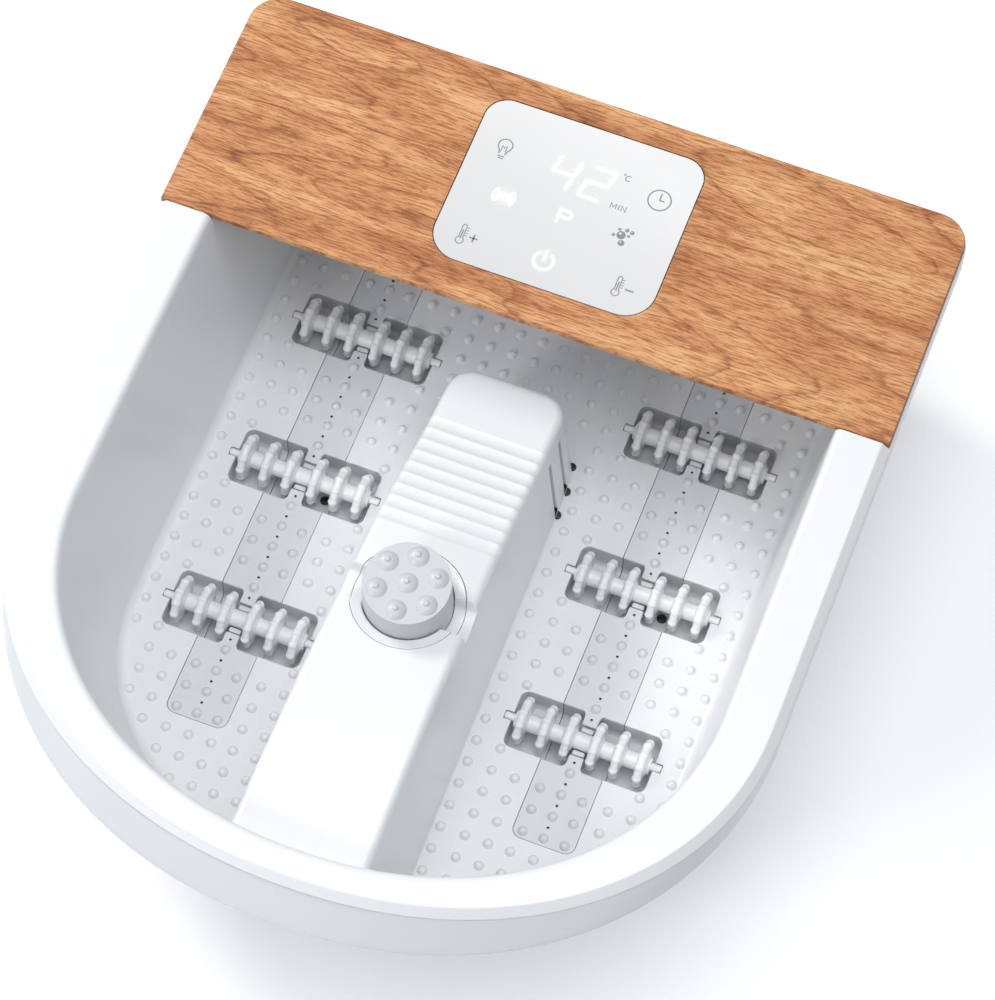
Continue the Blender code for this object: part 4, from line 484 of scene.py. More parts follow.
# %% [markdown]
# ## Tools for building
# Nearly every moulded part here is a stack of closed rings: a plan outline at one height, a wider
# one above it, and so on. Skinning such rings gives clean quads with real fillets. Openings are
# then cut with Booleans, and weighted normals keep the big flat faces flat.

# %% Ring and mesh helpers


def quarter(steps):
    """The angles of a quarter turn in equal steps."""
    return [math.pi / 2 * i / steps for i in range(steps + 1)]


def around(count):
    """The angles of a full turn in equal steps."""
    return [2 * math.pi * i / count for i in range(count)]


def circle(centre, radius, height, count):
    x, y = centre
    return [(x + radius * math.cos(a), y + radius * math.sin(a), height) for a in around(count)]


def level(points, height):
    """A flat outline lifted to a height."""
    return [(x, y, height) for x, y in points]


def loft(rings, closed=False, caps=True):
    """Skin rings of equal length; the ends are capped or joined to each other."""
    bm = bmesh.new()
    loops = [[bm.verts.new(point) for point in ring] for ring in rings]
    pairs = list(zip(loops, loops[1:]))
    if closed:
        pairs.append((loops[-1], loops[0]))
    for low, high in pairs:
        for i in range(len(low)):
            j = (i + 1) % len(low)
            bm.faces.new((low[i], low[j], high[j], high[i]))
    if caps and not closed:
        bm.faces.new(loops[0][::-1])
        bm.faces.new(loops[-1])
    return bm


def turned(profile, centre, count):
    """A solid of revolution about a vertical axis, from (radius, height) pairs."""
    return loft([circle(centre, radius, height, count) for radius, height in profile])


def extruded(points, low, high):
    """A flat outline pulled straight up from one height to another."""
    return loft([level(points, low), level(points, high)])


def rounded_rect(half_x, half_y, radius, centre, steps=8):
    """Outline of a rectangle with round corners; radius is one value or (front, back)."""
    front, rear = radius if isinstance(radius, tuple) else (radius, radius)
    points = []
    for sx, sy, r, turns in ((1, 1, rear, 0), (-1, 1, rear, 1), (-1, -1, front, 2), (1, -1, front, 3)):
        for i in range(steps + 1):
            a = math.pi / 2 * (turns + i / steps)
            x = centre[0] + sx * (half_x - r) + r * math.cos(a)
            points.append((x, centre[1] + sy * (half_y - r) + r * math.sin(a)))
    return points


def back_corners(half, rear, radius, steps=14):
    """The two round back corners of a plan, from its left side to its right side."""
    points = []
    for side, start in ((-1, math.pi), (1, math.pi / 2)):
        for a in quarter(steps):
            x = side * (half - radius) + radius * math.cos(start - a)
            points.append((x, rear - radius + radius * math.sin(start - a)))
    return points


def gathered(parts):
    """Put several bmeshes into one."""
    whole = bmesh.new()
    for part in parts:
        mesh = bpy.data.meshes.new("part")
        bmesh.ops.recalc_face_normals(part, faces=part.faces)
        part.to_mesh(mesh)
        part.free()
        whole.from_mesh(mesh)
        bpy.data.meshes.remove(mesh)
    return whole


def make_object(name, bm, material=None):
    mesh = bpy.data.meshes.new(name)
    bmesh.ops.recalc_face_normals(bm, faces=bm.faces)
    bm.to_mesh(mesh)
    bm.free()
    if material:
        mesh.materials.append(material)
    piece = bpy.data.objects.new(name, mesh)
    bpy.context.scene.collection.objects.link(piece)
    return piece


def settle(piece):
    """Replace a piece's mesh by what its modifiers make of it."""
    graph = bpy.context.evaluated_depsgraph_get()
    mesh = bpy.data.meshes.new_from_object(piece.evaluated_get(graph))
    old = piece.data
    piece.modifiers.clear()
    piece.data = mesh
    bpy.data.meshes.remove(old)
    return piece


def carve(piece, cutter_mesh, operation="DIFFERENCE"):
    """Cut a bmesh out of a piece, or join it to the piece, at once."""
    cutter = make_object("cutter", cutter_mesh)
    step = piece.modifiers.new("carve", "BOOLEAN")
    step.object = cutter
    step.operation = operation
    step.solver = "EXACT"
    settle(piece)
    bpy.data.objects.remove(cutter)
    return piece


def smooth(piece, degrees):
    """Smooth shading with crisp corners and flat large faces."""
    piece.data.shade_smooth()
    piece.data.set_sharp_from_angle(angle=math.radians(degrees))
    weighted = piece.modifiers.new("weighted_normals", "WEIGHTED_NORMAL")
    weighted.keep_sharp = True
    weighted.weight = 80
    return settle(piece)


def seat_piece(piece, slot, *replaced, body="tub"):
    """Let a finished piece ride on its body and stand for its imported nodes."""
    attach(piece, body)
    if replaced:
        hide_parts(*replaced)
    print(piece.name, "faces:", len(piece.data.polygons), "replaces:", ", ".join(replaced) or "nothing")
    return piece


print("helpers ready")

# %% [markdown]
# ## The tub
# The tub is one moulded skin: a wide cavity with a soft edge, a flat rim, a bevelled collar and six
# deep cups for the rollers. Its plan is straight at the sides and a flattened oval at the front.
# It is built as a thick stack of rings, the openings are cut out of it, the faces below are
# dropped, and what is left gets the thickness of a moulded wall.

# %% The tub's plan
TOP = 0.160
FLOOR_Z = 0.0395
DECK_DROP = 0.0045
COLLAR = 0.0042
RIM_ROUND = 0.0044
FLOOR_FILLET = 0.005
COVER_FRONT = 0.09835
GAP = 0.0003
CURVE_START = -0.06275
CURVE_POWER = 2.1
CURVE_STEPS = 112
SIDE_JOIN = 0.018
SKIN = 0.0018
SEAM_PLAN = (0.1955, -0.21865, 0.23275, 0.0175)
SHOULDER_PLAN = (0.1955, -0.23275, 0.23275, 0.0175)
CAVITY_PLAN = (0.1668, -0.19975, 0.17025, 0.018)
FLOOR_PLAN = (0.1505, -0.17725, 0.16525, 0.018)
SHELL_FOOT_PLAN = (0.1455, -0.16675, 0.21675, 0.030)


def tub_plan(shape, inset=0.0):
    """Plan of the tub: half width, front, back and back corner radius, pulled in by the inset."""
    half, front, rear, corner = shape
    half, front, rear, corner = half - inset, front + inset, rear - inset, corner - inset
    points = []
    for i in range(CURVE_STEPS + 1):
        a = math.pi * i / CURVE_STEPS
        across = abs(math.cos(a)) ** (2 / CURVE_POWER)
        along = abs(math.sin(a)) ** (2 / CURVE_POWER)
        y = CURVE_START - (CURVE_START - front) * along
        points.append((math.copysign(half * across, math.cos(a)), y))
    side = [(half, COVER_FRONT), (half, COVER_FRONT - GAP), (half, SIDE_JOIN)]
    return points + [(-x, y) for x, y in side[::-1]] + back_corners(half, rear, corner) + side


def at_height(points, height, rear_height=None):
    """Lift a plan to its height; the part under the wood-look cover may lie lower."""
    rear_height = height if rear_height is None else rear_height
    return [(x, y, rear_height if y > COVER_FRONT - GAP / 2 else height) for x, y in points]


def blended(low, high, share):
    return tuple(a + (b - a) * share for a, b in zip(low, high))


print("plan points:", len(tub_plan(CAVITY_PLAN)))

# %% Rings of the tub


def tub_rings():
    """Rings from the middle of the floor up the wall, over the rim and down to the seam."""
    deck = TOP - DECK_DROP
    wall = TOP - RIM_ROUND - FLOOR_Z
    rings = []
    for a in quarter(6):
        share = FLOOR_FILLET / wall * (1 - math.cos(a)) ** 2
        plan = tub_plan(blended(FLOOR_PLAN, CAVITY_PLAN, share), FLOOR_FILLET * (1 - math.sin(a)))
        rings.append(at_height(plan, FLOOR_Z + FLOOR_FILLET * (1 - math.cos(a))))
    for share in (0.35, 0.7):
        height = FLOOR_Z + wall * share
        plan = tub_plan(blended(FLOOR_PLAN, CAVITY_PLAN, share))
        rings.append(at_height(plan, height, height - DECK_DROP * share))
    for a in quarter(6):
        drop = RIM_ROUND * (1 - math.sin(a))
        plan = tub_plan(CAVITY_PLAN, -RIM_ROUND * (1 - math.cos(a)))
        rings.append(at_height(plan, TOP - drop, deck - drop))
    # Inset from the seam, height and height under the cover: the collar's bevel down to the seam.
    collar = (
        (COLLAR + 0.0007, TOP, deck), (COLLAR, TOP - 0.00022, deck), (COLLAR - 0.0006, TOP - 0.0008, deck),
        (0.0004, TOP - COLLAR + 0.0004, deck - 0.0001), (0.0, TOP - COLLAR, deck - 0.0004),
        (0.0, TOP - COLLAR - 0.0008, deck - 0.0025),
    )
    return rings + [at_height(tub_plan(SEAM_PLAN, inset), *heights) for inset, *heights in collar]


def tub_block():
    """The ring stack closed below as a block, so that Booleans work on a solid."""
    inset, foot = 0.0047, 0.015
    rings = tub_rings()
    outer_foot = blended(SHELL_FOOT_PLAN, SHOULDER_PLAN, 0.12)
    rings.append(at_height(tub_plan(SEAM_PLAN, inset), TOP - COLLAR - 0.0008, TOP - DECK_DROP - 0.0025))
    rings.append(at_height(tub_plan(outer_foot, inset), foot))
    return loft(rings)


tub = make_object("tub_skin", tub_block(), tub_white)
print("tub block faces:", len(tub.data.polygons))

# %% [markdown]
# The openings follow what lies in them. Each roller has a cup with a soft lip and round inner
# corners, and two open notches that carry its pins. A stepped trough takes the grey strip, which
# dives through all three cups of its side. A narrower trough below it is the air channel.

# %% Cut the cups, notches and channels
STRIP_X = 0.0944
STRIP_HALF = 0.0165
STRIP_PLATE = 0.0020
STRIP_FRONT = -0.1160
STRIP_BACK = 0.15825
STRIP_CORNER = 0.005
CHANNEL_INSET = 0.0025
CHANNEL_DEPTH = 0.0030
CUP_ROWS = (-0.056, 0.0315, 0.119)
CUP_HALF_X = 0.03815
CUP_HALF_Y = 0.01595
CUP_DEPTH = 0.0153
CUP_CORNER = 0.0042
CUP_BOTTOM_ROUND = 0.0032
CUP_LIP = 0.0007
NOTCH = (0.0044, 0.0025, 0.0024)
AXIS_Z = 0.0383
OVER = 0.004


def cup_cutter(x, y):
    """A cup with rounded bottom edges and a lip that opens out softly at the floor."""
    bottom = FLOOR_Z - CUP_DEPTH
    rings = []
    for a in quarter(4):
        shrink = CUP_BOTTOM_ROUND * (1 - math.sin(a))
        corner = max(CUP_CORNER - shrink * 0.4, 0.001)
        plan = rounded_rect(CUP_HALF_X - shrink, CUP_HALF_Y - shrink, corner, (x, y))
        rings.append(level(plan, bottom + CUP_BOTTOM_ROUND * (1 - math.cos(a))))
    for a in quarter(4):
        grow = CUP_LIP * (1 - math.cos(a))
        plan = rounded_rect(CUP_HALF_X + grow, CUP_HALF_Y + grow, CUP_CORNER + grow, (x, y))
        rings.append(level(plan, FLOOR_Z - CUP_LIP + CUP_LIP * math.sin(a)))
    return loft(rings + [level(plan, FLOOR_Z + OVER)])


def notch_cutter(x, y):
    """The open notches that carry a roller's pins, as one bar right through the cup."""
    past_cup, half, below_axis = NOTCH
    plan = rounded_rect(CUP_HALF_X + past_cup, half, 0.0005, (x, y), 3)
    return extruded(plan, AXIS_Z - below_axis, FLOOR_Z + OVER)


def dive_line(offset, start, end, lip, toe, steps):
    """Side view of a strip: along the floor and down through each cup, with rounded bends."""
    flat, low = FLOOR_Z - offset, FLOOR_Z - CUP_DEPTH - offset
    lip, toe = lip + offset, max(toe - offset, 0.0)
    points = [(start, flat)]

    def bend(centre, radius, first, last):
        for i in range(steps + 1):
            a = first + (last - first) * i / steps
            points.append((centre[0] + radius * math.cos(a), centre[1] + radius * math.sin(a)))

    turn = math.pi / 2
    for y in CUP_ROWS:
        front, rear = y - CUP_HALF_Y - offset, y + CUP_HALF_Y + offset
        bend((front - lip, flat - lip), lip, turn, 0)
        bend((front + toe, low + toe), toe, 2 * turn, 3 * turn)
        bend((rear - toe, low + toe), toe, 3 * turn, 4 * turn)
        bend((rear + lip, flat - lip), lip, 2 * turn, turn)
    return points + [(end, flat)]


def trough_cutter(x, offset, half, ends):
    """A solid as deep as a strip's side view and open at the floor."""
    start, end = STRIP_FRONT - ends, STRIP_BACK + ends
    line = dive_line(offset, start, end, lip=0.0004, toe=0.0006, steps=2)
    profile = line + [(end, FLOOR_Z + OVER), (start, FLOOR_Z + OVER)]
    return loft([[(px, y, z) for y, z in profile] for px in (x - half, x + half)])


def strip_plan(x, grow):
    """Plan of a strip with its two round front corners."""
    half, corner = STRIP_HALF + grow, STRIP_CORNER + grow
    points = [(x + half, STRIP_BACK + grow), (x - half, STRIP_BACK + grow)]
    for side, start in ((-1, math.pi), (1, math.pi * 1.5)):
        for a in quarter(8):
            along = STRIP_FRONT - grow + corner + corner * math.sin(start + a)
            points.append((x + side * (half - corner) + corner * math.cos(start + a), along))
    return points


def strip_recess(x):
    """The bed of a strip: its side view cut to its plan."""
    bed = make_object("recess", trough_cutter(x, STRIP_PLATE + GAP, STRIP_HALF + GAP, GAP))
    carve(bed, extruded(strip_plan(x, GAP), 0.012, FLOOR_Z + OVER * 2), "INTERSECT")
    bm = bmesh.new()
    bm.from_mesh(bed.data)
    bpy.data.objects.remove(bed)
    return bm


for x in (-STRIP_X, STRIP_X):
    for y in CUP_ROWS:
        carve(tub, cup_cutter(x, y))
        carve(tub, notch_cutter(x, y))
for x in (-STRIP_X, STRIP_X):
    carve(tub, strip_recess(x))
    half = STRIP_HALF - CHANNEL_INSET
    carve(tub, trough_cutter(x, STRIP_PLATE + CHANNEL_DEPTH, half, -CHANNEL_INSET))
print("tub after the cups:", len(tub.data.polygons), "faces")

# %% [markdown]
# Under the hump the floor is open, because the hump is hollow from below and runs into the front
# wall. The deck behind the tub has a window for the display housing. Then the block's outside and
# underside go, and Solidify gives the skin its wall.

# %% Open the hump's foot and give the skin its wall
CAVITY_FRONT = CAVITY_PLAN[1]
HUMP_FRONT_HALF = 0.0355
HUMP_BACK_HALF = 0.0313
HUMP_DRAFT = 0.0050
HUMP_END = 0.0920
HUMP_ROUND = 0.0140
HUMP_EDGE = 0.0045
BLOCK_BOTTOM = 0.0152
DISPLAY_WINDOW = [(-0.0672, 0.11055), (0.0672, 0.11055), (0.0672, 0.22425), (-0.0672, 0.22425)]


def hump_half(y):
    share = (y - CAVITY_FRONT) / (HUMP_END - CAVITY_FRONT)
    return HUMP_FRONT_HALF + (HUMP_BACK_HALF - HUMP_FRONT_HALF) * min(max(share, 0), 1)


def hump_plan(stations, inset, steps=14):
    """Plan ring of the hump: up its left side, round the back, and mirrored."""
    left = [(-hump_half(y) + inset, y) for y in stations]
    radius = HUMP_ROUND - inset
    half = hump_half(HUMP_END) - HUMP_ROUND
    for a in quarter(steps)[1:]:
        left.append((-half - radius * math.cos(a), HUMP_END - HUMP_ROUND + radius * math.sin(a)))
    return left + [(-x, y) for x, y in reversed(left)]


def drop_faces(piece, unwanted, split=False):
    """Delete the faces that the test names, and on request split those with over four corners."""
    bm = bmesh.new()
    bm.from_mesh(piece.data)
    bm.normal_update()
    bmesh.ops.delete(bm, geom=[face for face in bm.faces if unwanted(face)], context="FACES")
    if split:
        bmesh.ops.triangulate(bm, faces=[face for face in bm.faces if len(face.verts) > 4])
    bm.to_mesh(piece.data)
    bm.free()


def outside_of_block(face):
    """The block's underside, its outer sides below the collar, and cut ends down there."""
    low = min(v.co.z for v in face.verts) < BLOCK_BOTTOM
    return low or (face.normal.z < -0.5 and face.calc_center_median().z > 0.14)


def thicken(piece, degrees):
    """Give an open skin the wall of a moulding, and shade it."""
    wall = piece.modifiers.new("wall", "SOLIDIFY")
    wall.thickness = SKIN
    wall.offset = -1
    return smooth(settle(piece), degrees)


hump_foot = hump_plan([-0.171, -0.10, 0.0, HUMP_END - HUMP_ROUND], 0.0)
carve(tub, extruded(hump_foot, 0.010, FLOOR_Z + 0.0008))
carve(tub, extruded(DISPLAY_WINDOW, 0.1435, TOP + OVER))
drop_faces(tub, outside_of_block, split=True)
seat_piece(thicken(tub, 32), "white_plastic", "basin")
print("tub box:", [round(v, 4) for v in tub.dimensions])

# %% [markdown]
# ## The outer shell
# The shell is a second moulding that hangs under the collar: it leans out to a soft shoulder,
# then tapers in to a smaller foot. Its top edge sits a hair inside the collar, which gives the fine
# seam line round the tub.

# %% Build the outer shell


def outer_shell_rings():
    """Rings down the outside, over the shoulder to the round foot, and up again inside."""
    deck = TOP - DECK_DROP
    top, rear_top = TOP - COLLAR - 0.0011, deck - 0.0028
    shoulder, foot, bend_round = 0.1398, 0.0058, 0.010
    ease, wall = 0.0012, 0.0025
    bend = blended(SHELL_FOOT_PLAN, SHOULDER_PLAN, bend_round / (shoulder - foot))
    outer = [at_height(tub_plan(SEAM_PLAN, 0.0003), top, rear_top)]
    for share in (0.06, 0.5, 0.86):
        heights = [start + (shoulder + ease - start) * share for start in (top, rear_top)]
        outer.append(at_height(tub_plan(blended(SEAM_PLAN, SHOULDER_PLAN, share)), *heights))
    for inset, rise in ((0.00015, ease), (0.0, 0.0), (0.00015, -ease)):
        outer.append(at_height(tub_plan(SHOULDER_PLAN, inset), shoulder + rise))
    for share in (0.9, 0.5, 0.2):
        height = foot + bend_round + (shoulder - ease - foot - bend_round) * share
        outer.append(at_height(tub_plan(blended(bend, SHOULDER_PLAN, share)), height))
    for a in quarter(6):
        plan = tub_plan(blended(bend, SHELL_FOOT_PLAN, math.sin(a)), bend_round * (1 - math.cos(a)))
        outer.append(at_height(plan, foot + bend_round * (1 - math.sin(a))))
    return outer + [
        at_height(tub_plan(SHELL_FOOT_PLAN, 0.014), foot),
        at_height(tub_plan(SHELL_FOOT_PLAN, 0.014), foot + wall),
        at_height(tub_plan(bend, wall * 2), foot + bend_round),
        at_height(tub_plan(SHOULDER_PLAN, wall), shoulder),
        at_height(tub_plan(SEAM_PLAN, wall), top, rear_top),
    ]


shell = make_object("outer_skin", loft(outer_shell_rings(), closed=True), plastics["shell_white"])
smooth(shell, 35)
seat_piece(shell, "white_plastic", "outer_shell")

# %% [markdown]
# ## The hump
# The hump between the feet is hollow from below. Its back half is low and round, nine cross ridges
# climb its slope like a washboard, and the massage attachment sits in a round well in front of
# them. The ridges are left between shallow scallops: each crest is narrow, so it catches the light
# as a bright line. The sides lean in a little, and the top edge has a generous radius.

# %% Shape of the hump's back line
SEAT_Y = -0.0530
SEAT_RADIUS = 0.0285
HUMP_STATIONS = (CAVITY_FRONT, SEAT_Y - SEAT_RADIUS, SEAT_Y + SEAT_RADIUS, 0.0565, HUMP_END)
HUMP_HEIGHTS = (0.1002, 0.0995, 0.0935, 0.0706, 0.0650)
RIDGES_FRONT, RIDGES_BACK, RIDGE_COUNT, RIDGE_DEPTH = -0.0160, 0.0565, 9, 0.0010
CREST = 0.9


def hump_height(y):
    """Height of the smooth hump over the floor, a curve through five heights."""
    y = min(max(y, HUMP_STATIONS[0]), HUMP_STATIONS[-1])
    count = len(HUMP_STATIONS) - 1
    runs = [HUMP_STATIONS[i + 1] - HUMP_STATIONS[i] for i in range(count)]
    slopes = [(HUMP_HEIGHTS[i + 1] - HUMP_HEIGHTS[i]) / runs[i] for i in range(count)]
    tangents = [slopes[0], slopes[1], slopes[1], (slopes[2] + slopes[3]) / 2, slopes[3]]
    i = max(k for k in range(count) if y >= HUMP_STATIONS[k])
    t = (y - HUMP_STATIONS[i]) / runs[i]
    ends = HUMP_HEIGHTS[i] + (HUMP_HEIGHTS[i + 1] - HUMP_HEIGHTS[i]) * t * t * (3 - 2 * t)
    lead = (t ** 3 - 2 * t * t + t) * runs[i] * tangents[i]
    return ends + lead + (t ** 3 - t * t) * runs[i] * tangents[i + 1]


def ridge_rise(y):
    """Depth of the washboard: nine shallow scallops that meet in narrow round crests."""
    place = (y - RIDGES_FRONT) / (RIDGES_BACK - RIDGES_FRONT) * RIDGE_COUNT
    if not 0 < place < RIDGE_COUNT:
        return 0.0
    edge = abs(2 * (place % 1) - 1)
    round_off = max(edge - CREST, 0)
    height = min(edge, CREST) ** 1.7 + 1.58 * round_off - 7.9 * round_off ** 2
    return RIDGE_DEPTH * (height / 0.915 - 1)


def hump_stations():
    """Places along the hump, close together where the ridges are."""
    places = [-0.2035 + i * 0.009 for i in range(14)]
    places += [SEAT_Y - 0.022 + i * 0.007 for i in range(6)]
    for ridge in range(RIDGE_COUNT):
        for t in (0.0, 0.025, 0.05, 0.14, 0.28, 0.5, 0.72, 0.86, 0.95, 0.975):
            places.append(RIDGES_FRONT + (ridge + t) * (RIDGES_BACK - RIDGES_FRONT) / RIDGE_COUNT)
    places += [RIDGES_BACK, RIDGES_BACK + 0.007, RIDGES_BACK + 0.014, HUMP_END - HUMP_ROUND]
    return sorted(places)


print("stations along the hump:", len(hump_stations()))

# %% Skin the hump
FOOT_FILLET = 0.0013


def lifted(plan, down, fade):
    """Lift a plan ring onto the hump, lowered by a distance; the ridges fade down the edge."""
    return [(x, y, FLOOR_Z + hump_height(y) + ridge_rise(y) * fade - down) for x, y in plan]


def leaning(stations, share):
    """Ring on the leaning side wall, from the foot (0) to the start of the edge (1)."""
    plan = hump_plan(stations, -HUMP_DRAFT * (1 - share))
    return [(x, y, FLOOR_Z + (hump_height(y) - HUMP_EDGE) * share) for x, y in plan]


def hump_rings():
    """Rings from the fillet at the foot up the side wall and over the round top edge."""
    stations = hump_stations()
    rings = [level(hump_plan(stations, -HUMP_DRAFT - FOOT_FILLET - 0.0001), FLOOR_Z - 0.0003)]
    for a in quarter(3):
        plan = hump_plan(stations, -HUMP_DRAFT - FOOT_FILLET * (1 - math.sin(a)))
        rings.append(level(plan, FLOOR_Z + 0.00005 + FOOT_FILLET * (1 - math.cos(a))))
    rings += [leaning(stations, share) for share in (0.3, 0.65, 0.97)]
    for a in quarter(7):
        plan = hump_plan(stations, HUMP_EDGE * (1 - math.cos(a)))
        rings.append(lifted(plan, HUMP_EDGE * (1 - math.sin(a)), math.sin(a)))
    return rings


def skin_hump():
    """The rings closed below by one face and above by strips from side to side."""
    bm = loft(hump_rings(), caps=False)
    bm.verts.ensure_lookup_table()
    count = len(hump_plan(hump_stations(), 0.0))
    foot, crown = bm.verts[:count], bm.verts[-count:]
    bm.faces.new(foot)
    for i in range(count // 2 - 1):
        bm.faces.new((crown[i], crown[i + 1], crown[-i - 2], crown[-i - 1]))
    return bm


hump = make_object("hump", skin_hump(), tub_white)
print("hump faces:", len(hump.data.polygons))

# %% [markdown]
# The hump ends inside the front wall, so it is trimmed to the cavity. The round well takes the
# attachment's seat. Two finger scoops run out of it to the sides, and three small vents with a
# thin groove above them sit low on each side near the back.

# %% Trim and pierce the hump
SCOOP_DEPTH = 0.0098
SCOOP_CORNER = 0.0028
VENT_PLACES = (0.0578, 0.0722, 0.0866)
VENT_RADIUS = 0.0023
VENT_RISE = 0.0036
SLIT_TOP = 0.0560
SLIT_HALF = 0.0017
SLIT_DEPTH = 0.0016
WELL_FLOOR = FLOOR_Z + hump_height(SEAT_Y) - 0.013


def along_x(radius, low, high, y, z, count=32):
    """A round bar along X."""
    turn = [2 * math.pi * (i + 0.5) / count for i in range(count)]
    section = [(y + radius * math.cos(a), z + radius * math.sin(a)) for a in turn]
    return loft([[(x, *point) for point in section] for x in (low, high)])


def cavity_envelope(outward):
    """The cavity as a solid, grown outwards so a piece can run a little into the wall."""
    low = at_height(tub_plan(FLOOR_PLAN, -outward), FLOOR_Z - 0.001)
    high = at_height(tub_plan(CAVITY_PLAN, -outward), TOP - RIM_ROUND)
    return loft([low, high])


def scoop_profile():
    """Finger scoop seen from the side: round back lip, short drop, long floor, steep front wall."""
    lip = [(0.0112, 0.0001), (0.0104, -0.0001), (0.0097, -0.0006), (0.0091, -0.0014), (0.0086, -0.0026)]
    ramp = [(0.0079, -0.0046), (0.0070, -0.0060), (0.0056, -0.0070), (0.0032, -0.0080), (0.0, -0.0088),
            (-0.0036, -0.0095)]
    corner = [(-0.0070 - SCOOP_CORNER * math.sin(a), -SCOOP_DEPTH + SCOOP_CORNER * (1 - math.cos(a)))
              for a in quarter(6)]
    wall = [(-0.0099, -0.0008), (-0.0102, -0.0002), (-0.0108, 0.0001)]
    return lip + ramp + corner + wall + [(-0.0108, 0.02), (0.0112, 0.02)]


def scoop_cutter():
    """The scoop profile pulled along X, tilted with the hump's back."""
    tilt = math.atan2(hump_height(SEAT_Y + 0.01) - hump_height(SEAT_Y - 0.01), 0.02)
    height = FLOOR_Z + hump_height(SEAT_Y)
    points = []
    for along, up in scoop_profile():
        y = SEAT_Y + along * math.cos(tilt) - up * math.sin(tilt)
        points.append((y, height + along * math.sin(tilt) + up * math.cos(tilt)))
    return loft([[(x, y, z) for y, z in points] for x in (-0.06, 0.06)])


def hump_foot_half(y):
    """Half width of the hump's foot, also round its back corners."""
    start = HUMP_END - HUMP_ROUND
    if y <= start:
        return hump_half(y) + HUMP_DRAFT
    radius = HUMP_ROUND + HUMP_DRAFT
    return hump_half(HUMP_END) - HUMP_ROUND + math.sqrt(radius ** 2 - (y - start) ** 2)


def vent_cutters():
    """A round nozzle and the slit above it, on both sides, for each vent."""
    cutters = []
    for y in VENT_PLACES:
        foot = hump_foot_half(y)
        low, high = (foot - HUMP_DRAFT * height / hump_height(y) for height in (VENT_RISE, SLIT_TOP))
        side = [(low - SLIT_DEPTH, VENT_RISE), (low + 0.002, VENT_RISE),
                (high + 0.002, SLIT_TOP), (high - SLIT_DEPTH, SLIT_TOP)]
        for sign in (-1, 1):
            ends = sorted((sign * (low - 0.006), sign * (low + 0.003)))
            cutters.append(along_x(VENT_RADIUS, *ends, y, FLOOR_Z + VENT_RISE))
            edges = (-SLIT_HALF, SLIT_HALF)
            cutters.append(loft([[(sign * x, y + edge, FLOOR_Z + z) for x, z in side] for edge in edges]))
    return cutters


carve(hump, cavity_envelope(0.0009), "INTERSECT")
well = [(SEAT_RADIUS + GAP, WELL_FLOOR), (SEAT_RADIUS + GAP, TOP + 0.01)]
carve(hump, turned(well, (0, SEAT_Y), 128))
carve(hump, scoop_cutter())
for cutter in vent_cutters():
    carve(hump, cutter)


def paint_vent_shade(piece):
    """Paint shade into each vent: its inside black and the bottom of the slit above it dark grey."""
    for name in ("black_plastic", "slit_painted_shade"):
        piece.data.materials.append(plastics[name])
    for face in piece.data.polygons:
        x, y, z = face.center
        near = [place for place in VENT_PLACES if abs(place - y) < VENT_RADIUS]
        deep = near and abs(x) < hump_foot_half(y) - HUMP_DRAFT * (z - FLOOR_Z) / hump_height(y) - 0.0006
        if not deep or z > FLOOR_Z + SLIT_TOP:
            continue
        in_hole = math.hypot(y - near[0], z - FLOOR_Z - VENT_RISE) < VENT_RADIUS * 1.05
        if in_hole and abs(x) > 0.01:
            face.material_index = 1
        elif abs(face.normal.x) > 0.8 and abs(y - near[0]) < SLIT_HALF and z > FLOOR_Z + VENT_RISE:
            face.material_index = 2


def nozzle_lips():
    """The nozzles' round lips on the floor at the foot of each vent, black as painted shade."""
    steps = ((0.0025, 0.0001), (0.0025, 0.0006), (0.0022, 0.0012), (0.0016, 0.0013), (0.0012, 0.0008))
    profile = [(radius, FLOOR_Z + height) for radius, height in steps]
    places = [(sign * (hump_foot_half(y) + 0.0002), y) for y in VENT_PLACES for sign in (-1, 1)]
    return gathered([turned(profile, place, 24) for place in places])


# The lips' black is painted shade of the dark vent openings.
lips = make_object("vent_lips", nozzle_lips(), black_plastic)
seat_piece(smooth(lips, 40), "white_plastic")
paint_vent_shade(hump)
drop_faces(hump, lambda face: max(v.co.z for v in face.verts) < FLOOR_Z - 0.0001)
seat_piece(thicken(hump, 34), "white_plastic")

# %% [markdown]
# ## The massage domes
# Low domes cover the floor in a diagonal grid that skips the cups, the strips and the hump's foot.
# A real dome flows into the floor with a small fillet, so each one is a turned bell profile. All
# the floor domes are one mesh, because they are one moulding.

# %% Scatter the floor domes
PITCH = 0.0125
GRID_Y = 0.02525
DOME_COLUMNS = (0.5, 1.5, 2.5, 3.5, 4.55, 5.55, 9.55, 10.55, 11.55)
DOME_FRONT_COLUMNS = (3.5, 4.55, 5.55, 6.5, 7.5, 8.5, 9.55)
DOME_PROFILE = (
    (0.0030, -0.0002), (0.00275, 0.00004), (0.0025, 0.00032), (0.0023, 0.00092),
    (0.0019, 0.00162), (0.0014, 0.00208), (0.0008, 0.00234), (0.0003, 0.00240),
)
DOME_ROOM = 0.0032
HUMP_ROOM = 0.0028
HUMP_BACK_ROOM = 0.0359
WALL_ROOM = 0.004


def bell(x, y):
    """One dome: a turned bell with a fillet at its foot."""
    return turned([(radius, FLOOR_Z + height) for radius, height in DOME_PROFILE], (x, y), 20)


def clear_of_cups(x, y):
    for row in CUP_ROWS:
        across = max(abs(abs(x) - STRIP_X) - CUP_HALF_X + CUP_CORNER, 0)
        along = max(abs(y - row) - CUP_HALF_Y + CUP_CORNER, 0)
        if math.hypot(across, along) - CUP_CORNER < DOME_ROOM:
            return False
    return True


def clear_of_strips(x, y):
    return abs(abs(x) - STRIP_X) - STRIP_HALF > DOME_ROOM or y < STRIP_FRONT - DOME_ROOM


